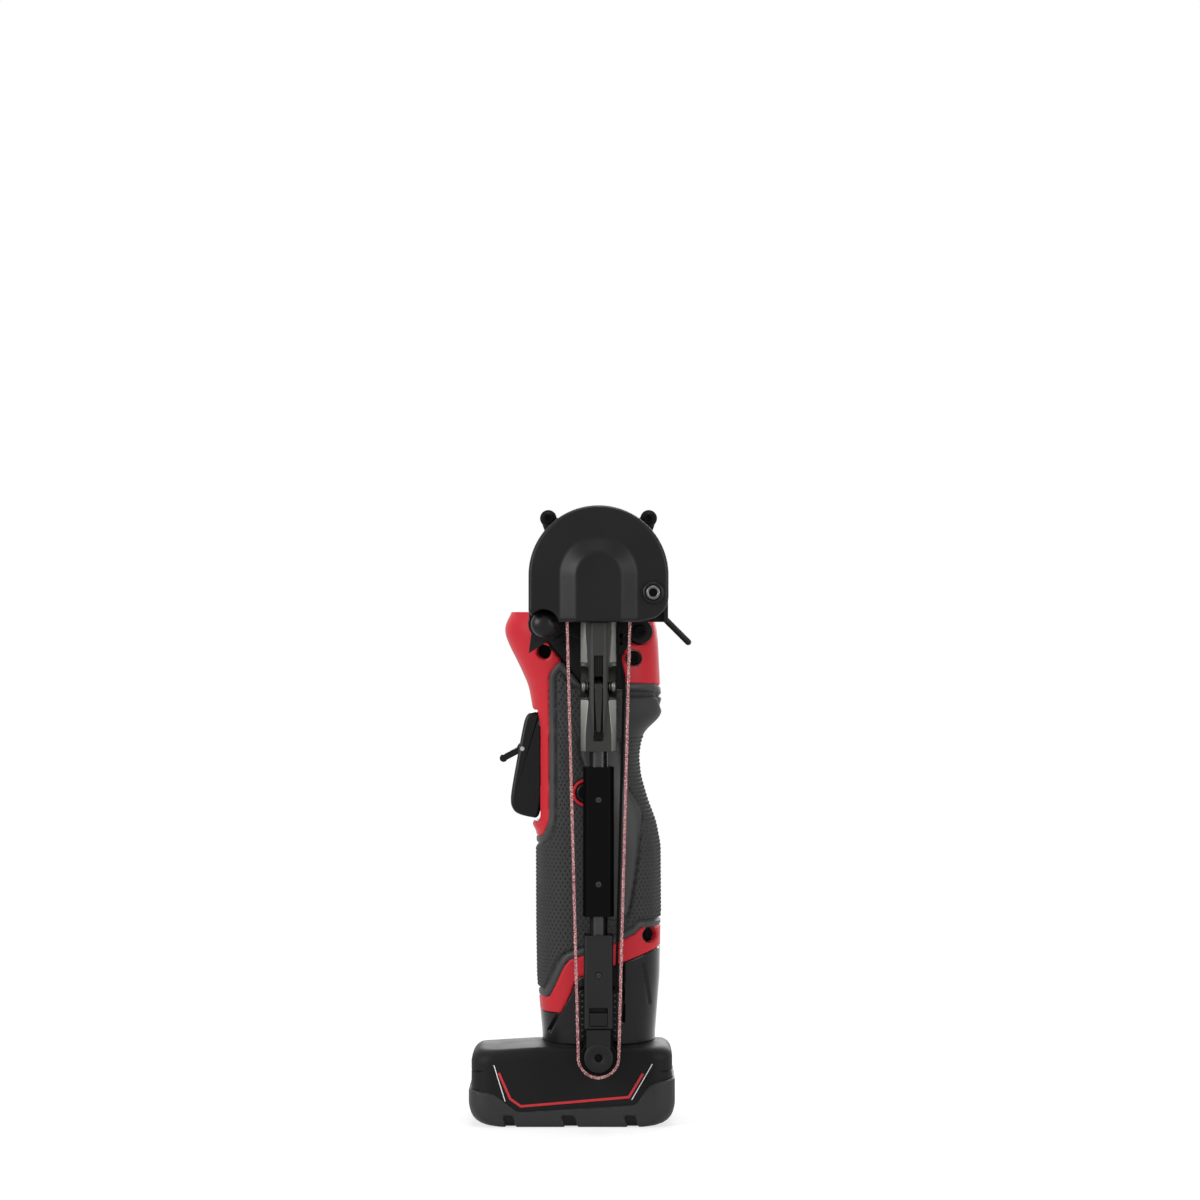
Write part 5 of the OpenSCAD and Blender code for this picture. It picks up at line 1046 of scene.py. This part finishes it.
# Tracking knob: a soft black cap that is turned to steer the belt, on a steel stem through the plate.
# Its rim is fluted; the front is a smooth dome.
KNOB_FACE, KNOB_L, KNOB_DOME, KNOB_FLUTES, FLUTE_STEPS, FLUTE_DEPTH = -49.0, 15.8, 4.0, 14, 12, 0.35
DOME_END, FLUTE_FROM, KNOB_EDGE, WASHER_R, WASHER_FROM = 0.3, 1.0, 0.4, 6.7, 14.6
knob_black = finish("knob_moulding", (0.0045, 0.0045, 0.0050), 0.38, grain=1100, depth=0.02, gloss=0.18)
angles = once_round(KNOB_FLUTES * FLUTE_STEPS)
fluted = KNOB_R - FLUTE_DEPTH * np.clip(np.cos(KNOB_FLUTES * angles), 0, 1)
dome = [(KNOB_R * math.sin(a), KNOB_DOME * (1 - math.cos(a))) for a in np.linspace(0.1, 1.5, 12)]
knob = lathe_y(KNOB_X, KNOB_Z, [
    (0.0, 0.0), *dome, (KNOB_R, KNOB_DOME + DOME_END), (fluted, KNOB_DOME + FLUTE_FROM), (fluted, KNOB_L - KNOB_EDGE),
    (fluted - KNOB_EDGE, KNOB_L), (0.0, KNOB_L)], len(angles), KNOB_FACE)
washer = lathe_y(KNOB_X, KNOB_Z, [
    (0.0, WASHER_FROM), (WASHER_R, WASHER_FROM), (WASHER_R, KNOB_L), (0.0, KNOB_L)], face=KNOB_FACE)
new_piece("tracking_knob_cap", *joined(knob, washer), knob_black, "tracking_knob", "black_plastic", "tracking_knob")

# Arm base: an aluminium casting that swivels on the gear case's neck and carries the rest of the arm.
# Its beam is dark metal with pale facets and scoops over the lever pin; the plate is painted black.
# The beam's dark colour is a painted reflection. The pale facets are a painted highlight of the soft boxes, and the
# same pale metal serves the lever pin.
arm_metal_painted_dark_reflection = finish("arm_casting_painted_dark_reflection", (0.036, 0.036, 0.034), 0.42, grain=700, depth=0.03, metallic=0.8, tone=0.12)
pale_metal_and_painted_highlight = finish("facets_pale_metal_and_painted_highlight", (0.112, 0.112, 0.106), 0.36, grain=500, depth=0.015, metallic=0.9, tone=0.08,
                     stretch=(1, 1, 0.1))
ARM_Y, BEAM_HALF_W, BEAM_FACE = -40.0, 7.35, -48.0
RIB_HALF_W, RIB_END_HALF_W, RIB_FACE = 3.7, 2.2, -49.5
WEDGE_OUT, WEDGE_AHEAD = 1.5, 1.2


def facet_cutter(side, drops, widths, halves=(BEAM_HALF_W, BEAM_HALF_W), front=BEAM_FACE, slope=0.75, past=0.05):
    """A wedge that takes a front edge of the beam off between two drops, to two widths."""
    rings = [[(side * (half - width * (1 + past)), front - width * slope * past, AXIS_Z - drop),
              (side * (half + width * past), front + width * slope * (1 + past), AXIS_Z - drop),
              (side * (half + WEDGE_OUT), front - WEDGE_AHEAD, AXIS_Z - drop)]
             for drop, width, half in zip(drops, widths, halves)]
    points, faces = through(rings)
    return plain_mesh(points, faces if side > 0 else [f[::-1] for f in faces])


def cone_x(x0, r0, x1, r1, y, z, count=48):
    """A cone frustum along X."""
    angles = once_round(count)
    points, faces = through([np.column_stack([np.full(count, x), y + r * np.cos(angles), z + r * np.sin(angles)])
                             for x, r in ((x0, r0), (x1, r1))])
    return plain_mesh(points, faces if x1 > x0 else [f[::-1] for f in faces])


beam_cutters = []
for side in (-1, 1):
    beam_cutters += [
        facet_cutter(side, (50.2, 72.5), (3.3, 1.3)), facet_cutter(side, (18.0, 35.4), (1.7, 3.0)),
        facet_cutter(side, (18.5, 52.0), (1.1, 1.1), (RIB_HALF_W, RIB_HALF_W), RIB_FACE, 1.0),
        facet_cutter(side, (52.0, 65.5), (1.1, 0.8), (RIB_HALF_W, RIB_END_HALF_W), RIB_FACE, 1.0),
        cone_x(side * 3.95, 5.9, side * 9.0, 7.4, BEAM_FACE - 0.9, AXIS_Z - 43.2)]
arm_base = broken_edges(
    "arm_base", "arm_base_casting", arm_metal_painted_dark_reflection, "arm_aluminium", 0.22, 2, 30.0, beam_cutters, split=True)
arm_base.data.materials.append(black_case)
arm_base.data.materials.append(pale_metal_and_painted_highlight)
PAINT_FROM, FACET_ACROSS, FACET_AHEAD, FACET_UP, FACET_LEAST, FACET_FROM = -33.3, 0.45, -0.5, 0.1, 0.4, 4.0
GROOVE_HALF_W, GROOVE_FACE, GROOVE_TOP, GROOVE_END = 2.05, -49.0, 28.0, 68.0
for face in arm_base.data.polygons:
    (x, y, z), way = face.center, face.normal
    # Faces turned sideways and forward take the pale copy as a painted highlight
    painted_highlight_face = abs(way.x) > FACET_ACROSS and way.y < FACET_AHEAD and abs(way.z) < FACET_UP
    painted_highlight_face = painted_highlight_face and face.area > FACET_LEAST * MM * MM and abs(x) > FACET_FROM * MM
    # Faces inside the lever's groove take the black finish as painted shade in the recess
    painted_shade_groove = (abs(x) < GROOVE_HALF_W * MM and GROOVE_FACE * MM < y
            and (AXIS_Z - GROOVE_END) * MM < z < (AXIS_Z - GROOVE_TOP) * MM)
    face.material_index = 1 if painted_shade_groove or y > PAINT_FROM * MM else 2 * painted_highlight_face

# Arm slide: black anodised clamp tube on blackened steel rods, then a dark fork block and the tip's yoke.
# The roller turns on a pin through the yoke; the lever in the beam's groove pulls the slide in.
black_anodised = finish("black_anodised", (0.0012, 0.0012, 0.0014), 0.34, grain=500, depth=0.006, tone=0.08,
                        stretch=(1, 1, 0.08), gloss=0.055)
dark_block = finish("dark_block", (0.0085, 0.0085, 0.0087), 0.46, grain=900, depth=0.025, gloss=0.16)
bright_steel = finish("bright_steel", (0.42, 0.42, 0.43), 0.24, grain=300, depth=0.004, metallic=1.0, tone=0.05)
lever_grey = finish(
    "lever_steel", (0.020, 0.020, 0.020), 0.4, grain=600, depth=0.01, metallic=0.5, stretch=(1, 1, 0.1))
broken_edges("arm_tube", "clamp_tube", black_anodised, "black_anodised")
broken_edges("inner_rod", "inner_slide_rod", black_oxide, "bright_steel", 0.2)
broken_edges("outer_rod", "outer_slide_rod", black_oxide, "bright_steel", 0.2)
broken_edges("fork_block", "fork_block_body", dark_block, "grey_plastic", 0.5, 3, split=True)
broken_edges("tip_yoke", "tip_yoke_body", black_case, "grey_plastic", 0.25)
broken_edges("tip_roller", "tip_roller_body", black_anodised, "bright_steel", 0.4, 3)
# The roller pin has the black anodised finish as painted shade: its end shows as the dark hole of a roll pin.
broken_edges("roller_pin", "roller_pin_body", black_anodised, "bright_steel", 0.3, 3)
TIP_Z, CHEEK_FACE, CHEEK_T, CHEEK_R, CHEEK_HOLE_R = 30.71, -48.8, 1.9, 5.85, 1.55
cheek = lathe_y(0, TIP_Z, [
    (CHEEK_HOLE_R, CHEEK_T), (CHEEK_HOLE_R, -0.1), (CHEEK_HOLE_R + 0.3, -0.4), (CHEEK_R - 0.5, -0.4),
    (CHEEK_R - 0.1, -0.2), (CHEEK_R, 0.2), (CHEEK_R, CHEEK_T), (CHEEK_HOLE_R, CHEEK_T)], face=CHEEK_FACE)
new_piece("tip_cheek_disc", *cheek, black_case, "arm_slide", "grey_plastic", sharp=50.0)
# The lever is tapered and shortened: outlines of what comes off, as (x, drop below the axis)
LEVER_END, LEVER_CUT = 63.4, (-52.0, -40.0)
LEVER_OFF = [[(side * x, drop) for x, drop in ((1.6, 47), (0.6, 66), (3, 66), (3, 47))] for side in (-1, 1)]
LEVER_OFF.append([(-3, LEVER_END), (3, LEVER_END), (3, 72), (-3, 72)])
lever_cutters = [plain_mesh(*plate_y([(x, AXIS_Z - drop) for x, drop in loop], *LEVER_CUT)) for loop in LEVER_OFF]
broken_edges("release_lever", "release_lever_body", lever_grey, "black_casting", 0.2, cutters=lever_cutters, split=True)
broken_edges("platen", "platen_strip", black_anodised, "black_anodised", 0.15)

# Lever pin: a turned steel pin through the beam that the release lever rocks on.
# Its two heads are rounded and show in the scoops at the sides.
PIN_Y, PIN_Z = -45.8, AXIS_Z - 45.0
PIN_PROFILE = [(0.9, 0.0), (0.9, 3.9), (1.7, 4.05), (1.95, 4.4), (1.7, 4.8), (1.5, 5.0), (2.0, 5.1), (2.45, 5.5),
               (2.55, 6.0), (2.4, 6.5), (1.9, 6.9), (1.0, 7.2), (0.0, 7.3)]
turned, faces = lathe_y(PIN_Y, PIN_Z, [(r, -x) for r, x in reversed(PIN_PROFILE[1:])] + PIN_PROFILE)
new_piece("lever_pin_body", [(x, y, z) for y, x, z in turned], [face[::-1] for face in faces], pale_metal_and_painted_highlight, "arm",
          "bright_steel", "lever_pin", sharp=60.0)

# Groove insert: a dark strip pressed into the beam's groove above the lever, over the spring.
# Three ribs run down its face.
INSERT_HALF_W, INSERT_FLOOR, INSERT_FACE, INSERT_RIB, INSERT_DROPS = 1.6, -47.2, -48.3, 0.45, (40.7, 32.6)
insert_loop = [(-INSERT_HALF_W, INSERT_FLOOR), (-INSERT_HALF_W, INSERT_FACE)]
for middle in (-1.05, 0.0, 1.05):
    insert_loop += [(middle - 0.35, INSERT_FACE), (middle - 0.2, INSERT_FACE - INSERT_RIB),
                    (middle + 0.2, INSERT_FACE - INSERT_RIB), (middle + 0.35, INSERT_FACE)]
insert_loop += [(INSERT_HALF_W, INSERT_FACE), (INSERT_HALF_W, INSERT_FLOOR)]
insert = through([level(np.array(insert_loop), AXIS_Z - drop) for drop in INSERT_DROPS])
new_piece("groove_insert", *insert, black_case, "arm", "black_casting", sharp=20.0)

# Socket screws: turned steel with a hexagon key hole, blackened, in the shells, gear case and guard.
# Geometry Nodes make one size at a time; the slide's grub screws are heads with hardly any shank.
TO_FRONT, TO_BACK, TO_RIGHT = (0, -1, 0), (0, 1, 0), (1, 0, 0)
COVER_SCREW, KEY_SHARE, KEY_DEPTH, EDGE_SHARE, EDGE_WIDTH = 16.97, 0.56, 1.3, 0.14, 0.88
# Name, body, head radius and height, shank radius and length, facing, places and the CAD nodes they stand for
SOCKET_SCREWS = (
    ("shell_screw_pair", "body", 2.6, 2.0, 1.4, 15.0, TO_FRONT, [(x, SHELL_SEAT, z) for x, z in SCREW_PLACES],
     ["shell_screws"]),
    ("case_fix_screw", "body", 2.6, 2.0, 1.4, 8.0, TO_FRONT, [(CASE_FIX[0], CASE_FIX_SEAT, CASE_FIX[1])], []),
    ("case_ear_screws", "body", 2.8, 2.0, 1.5, 8.0, TO_FRONT,
     [(s * EAR_X, -23.7, AXIS_Z - EAR_DROP) for s in (-1, 1)], ["case_screws"]),
    ("gear_cover_screws", "body", 2.3, 2.0, 1.3, 9.0, TO_BACK,
     [(s * COVER_SCREW, 17.5, AXIS_Z + t * COVER_SCREW) for s in (-1, 1) for t in (-1, 1)], []),
    ("guard_ear_screws", "arm", 2.3, 1.8, 1.3, 9.7, TO_FRONT, [(s * 20.4, -41.05, AXIS_Z + 23.2) for s in (-1, 1)],
     ["arm_screws"]),
    ("guard_fix_screw", "arm", 2.8, 2.2, 2.0, 18.1, TO_FRONT, [(FIX_X, -52.05, FIX_Z)], []),
    ("platen_screw", "arm", 2.4, 1.4, 1.5, 3.2, TO_RIGHT, [(8.45, ARM_Y, AXIS_Z - 26)], []),
    ("tube_grub_screws", "arm_slide", 1.3, 2.0, 1.2, 0.1, TO_FRONT, [(0, -43.75, z) for z in (135.0, 100.8)],
     ["set_screws"]),
    ("block_grub_screw", "arm_slide", 1.3, 2.25, 1.2, 0.1, TO_FRONT, [(0, -43.75, 63.8)], []))
# Screws off the slide get an extra dark finish as painted shade, the dark of the deep holes most of them sit in.
dark_steel_painted_shade = finish("dark_steel_painted_shade", (0.003, 0.003, 0.0034), 0.4, grain=300, depth=0.003, tone=0.08, gloss=0.07)
screw_group, screw_sockets, put = on_points(
    "socket_screws", ("Head radius", "Head height", "Shank radius", "Shank length", "Key radius"))


def bar(sides, radius, length, height):
    """A rod for the screw, moved to a height, and which of its faces are on top."""
    rod = add(screw_group, "GeometryNodeMeshCylinder", {"Vertices": sides, "Radius": radius, "Depth": length})
    lift = add(screw_group, "ShaderNodeCombineXYZ", {"Z": height})
    return add(screw_group, "GeometryNodeTransform", {"Geometry": rod, "Translation": lift}), rod.outputs["Top"]


head_height, shank_length = put.outputs["Head height"], put.outputs["Shank length"]
blank, face = bar(36, put.outputs["Head radius"], scaled(screw_group, head_height, 1 - EDGE_SHARE),
                  scaled(screw_group, head_height, (1 - EDGE_SHARE) / 2))
edge = add(screw_group, "GeometryNodeExtrudeMesh", {
    "Mesh": blank, "Selection": face, "Offset Scale": scaled(screw_group, head_height, EDGE_SHARE)})
chamfer = add(screw_group, "GeometryNodeScaleElements", {
    "Geometry": edge, "Selection": edge.outputs["Top"], "Scale": EDGE_WIDTH})
key, _ = bar(6, put.outputs["Key radius"], scaled(screw_group, head_height, KEY_DEPTH), head_height)
holed = add(screw_group, "GeometryNodeMeshBoolean", {"Mesh 1": chamfer, "Mesh 2": key}, operation="DIFFERENCE")
shank, _ = bar(24, put.outputs["Shank radius"], shank_length, scaled(screw_group, shank_length, -0.5))
whole = add(screw_group, "GeometryNodeJoinGeometry", {0: holed})
fill(screw_group, whole, {0: shank})
set_out(screw_group, put, whole)
for name, body, head_r, head_h, shank_r, shank_l, facing, places, nodes in SOCKET_SCREWS:
    screws = grown(name, places, [facing] * len(places), screw_group, screw_sockets, {
        "Head radius": head_r * MM, "Head height": head_h * MM, "Shank radius": shank_r * MM,
        "Shank length": shank_l * MM, "Key radius": KEY_SHARE * head_r * MM,
        "Material": black_oxide if body == "arm_slide" else dark_steel_painted_shade})
    set_piece(name, screws, body, "bright_steel", *nodes, sharp=30.0)

# Guard screw's rim: a painted highlight on the rounded edge of its head, in pale metal.
# It is a thin ring on the head's face, round the key hole.
RIM_FACE, RIM_T = -54.25, 0.6
rim = lathe_y(FIX_X, FIX_Z, [(1.7, RIM_T), (1.7, 0.0), (1.85, -0.22), (2.25, -0.34), (2.6, -0.2), (2.85, 0.15),
                             (2.9, RIM_T), (1.7, RIM_T)], face=RIM_FACE)
new_piece("guard_fix_rim_painted_highlight", *rim, pale_metal_and_painted_highlight, "arm", "bright_steel", sharp=70.0)

# Sanding belt: abrasive cloth, 13 mm wide, glued into a loop with a slanted joint.
# Reddish grit with pale grains outside and on the cut edges, which are a little frayed.
WHEEL_BELT_R, ROLLER_BELT_R, BELT_T, BELT_HALF_W, ARM_L = 12.65, 7.65, 1.1, 6.5, 195.29
RUN_STEPS, GRIT_OUT, FRAY = 280, 0.14, 0.25
JOINT_AT, JOINT_LEAN, JOINT_HALF = 0.36, 0.012, 0.0007
BOND, GRAIN, JOINT = (0.17, 0.050, 0.058, 1.0), (0.46, 0.30, 0.28, 1.0), (0.10, 0.045, 0.04, 1.0)
lean = math.asin((WHEEL_BELT_R - ROLLER_BELT_R) / ARM_L)


def belt_path(grow):
    """Points round the loop in X and Z, with the straight runs divided."""
    over, under = (np.array([(r * math.cos(a), z + r * math.sin(a)) for a in np.linspace(*arc)]) for r, z, arc in (
        (WHEEL_BELT_R + grow, AXIS_Z, (-lean, math.pi + lean, 61)),
        (ROLLER_BELT_R + grow, AXIS_Z - ARM_L, (math.pi + lean, 2 * math.pi - lean, 41))))
    share = np.linspace(0, 1, RUN_STEPS)[1:-1, None]
    down, up = (a * (1 - share) + b * share for a, b in ((over[-1], under[0]), (under[-1], over[0])))
    return np.concatenate([over, down, under, up])


inner_loop, outer_loop = belt_path(0.0), belt_path(BELT_T)
outward = (outer_loop - inner_loop) / BELT_T
n = len(inner_loop)
rng = np.random.default_rng(7)
belt_rows = []
for share, loop, rough in ((0.0, inner_loop, 0.0), (0.0, outer_loop, 1.0), (0.12, outer_loop, 0.6),
                           (0.88, outer_loop, 0.6), (1.0, outer_loop, 1.0), (1.0, inner_loop, 0.0)):
    y = np.full(n, ARM_Y - BELT_HALF_W + 2 * BELT_HALF_W * share)
    if share in (0.0, 1.0):
        y += rng.uniform(0, FRAY, n) * (1 if share == 0 else -1)
    grit = rng.uniform(-GRIT_OUT, GRIT_OUT, n) * rough
    belt_rows.append(np.insert(loop + outward * grit[:, None], 1, y, axis=1))
belt_points, rows = np.concatenate(belt_rows), len(belt_rows)
belt_faces = [[a * n + i, (a + 1) % rows * n + i, (a + 1) % rows * n + (i + 1) % n, a * n + (i + 1) % n]
              for a in range(rows) for i in range(n)]

# The grit: pale grains and dark pits in a reddish bond, as a mask and a height
grit_group, put, got = node_group(
    "grit", [("Vector", VECTOR, None), ("Scale", FLOAT, 1900.0)], [("Grains", FLOAT), ("Height", FLOAT)])
at = {name: put.outputs[name] for name in ("Vector", "Scale")}
patches = add(grit_group, "ShaderNodeTexNoise", at)
pale = add(grit_group, "ShaderNodeMapRange", {"Value": patches, "From Min": 0.47, "From Max": 0.62})
fill(grit_group, got, {"Grains": pale, "Height": add(grit_group, "ShaderNodeTexVoronoi", at)})

abrasive = bpy.data.materials.new("abrasive_cloth")
abrasive.use_nodes = True
tree = abrasive.node_tree
where = add(tree, "ShaderNodeTexCoord").outputs["Object"]
grit = add(tree, "ShaderNodeGroup", {"Vector": where}, node_tree=grit_group)
bond = add(tree, "ShaderNodeMix", {"Factor": grit.outputs["Grains"], "A": BOND, "B": GRAIN}, data_type="RGBA")
along = add(tree, "ShaderNodeSeparateXYZ", {0: add(tree, "ShaderNodeUVMap")})
skew = add(tree, "ShaderNodeMath", {0: along.outputs["Y"], 1: -JOINT_LEAN, 2: along.outputs["X"]},
           operation="MULTIPLY_ADD")
joint = add(tree, "ShaderNodeMath", {0: skew, 1: JOINT_AT, 2: JOINT_HALF}, operation="COMPARE")
spliced = add(tree, "ShaderNodeMix", {"Factor": joint, "A": bond.outputs["Result"], "B": JOINT}, data_type="RGBA")
bump = add(tree, "ShaderNodeBump", {"Strength": 0.8, "Distance": 0.12 * MM, "Height": grit.outputs["Height"]})
fill(tree, tree.nodes["Principled BSDF"], {
    "Roughness": 0.85, "Specular IOR Level": 0.2, "Base Color": spliced.outputs["Result"], "Normal": bump})
belt = new_piece("abrasive_belt", belt_points, belt_faces, abrasive, "arm", "abrasive_cloth", "sanding_belt")
lay = belt.data.uv_layers.new(name="UVMap")
for loop in belt.data.loops:
    across = (belt_points[loop.vertex_index][1] - ARM_Y) / (2 * BELT_HALF_W) + 0.5
    lay.data[loop.index].uv = (loop.vertex_index % n / n, across)

# Pieces left as in the CAD: motor, gears, bearings, electronics, cells and pins inside the tool.
# Each has the finish of its material.
finishes = {
    "arm_aluminium": arm_metal_painted_dark_reflection, "black_casting": black_case, "black_plastic": black_plastic,
    "grey_plastic": grey_plastic, "red_plastic": red_plastic, "grip_rubber": grip_rubber,
    "bright_steel": bright_steel, "black_anodised": black_anodised, "abrasive_cloth": abrasive, "label_red": label_red,
    "gear_steel": finish("gear_steel", (0.30, 0.29, 0.28), 0.35, grain=500, depth=0.006, metallic=1.0),
    "motor_iron": finish("motor_iron", (0.16, 0.13, 0.11), 0.5, grain=900, depth=0.02, metallic=0.7),
    "circuit_board": finish("circuit_board", (0.02, 0.11, 0.05), 0.4, grain=600, depth=0.01),
    "tyre_rubber": finish("tyre_rubber", (0.012, 0.012, 0.012), 0.8, grain=1200, depth=0.05),
    "cell_wrap": finish("cell_wrap", (0.03, 0.16, 0.10), 0.3, grain=200, depth=0.004)}
for row in frame["record"]["subparts"]:
    node = frame["nodes"][row["node"]]
    node.data.materials.clear()
    node.data.materials.append(finishes[row["material_slot"]])
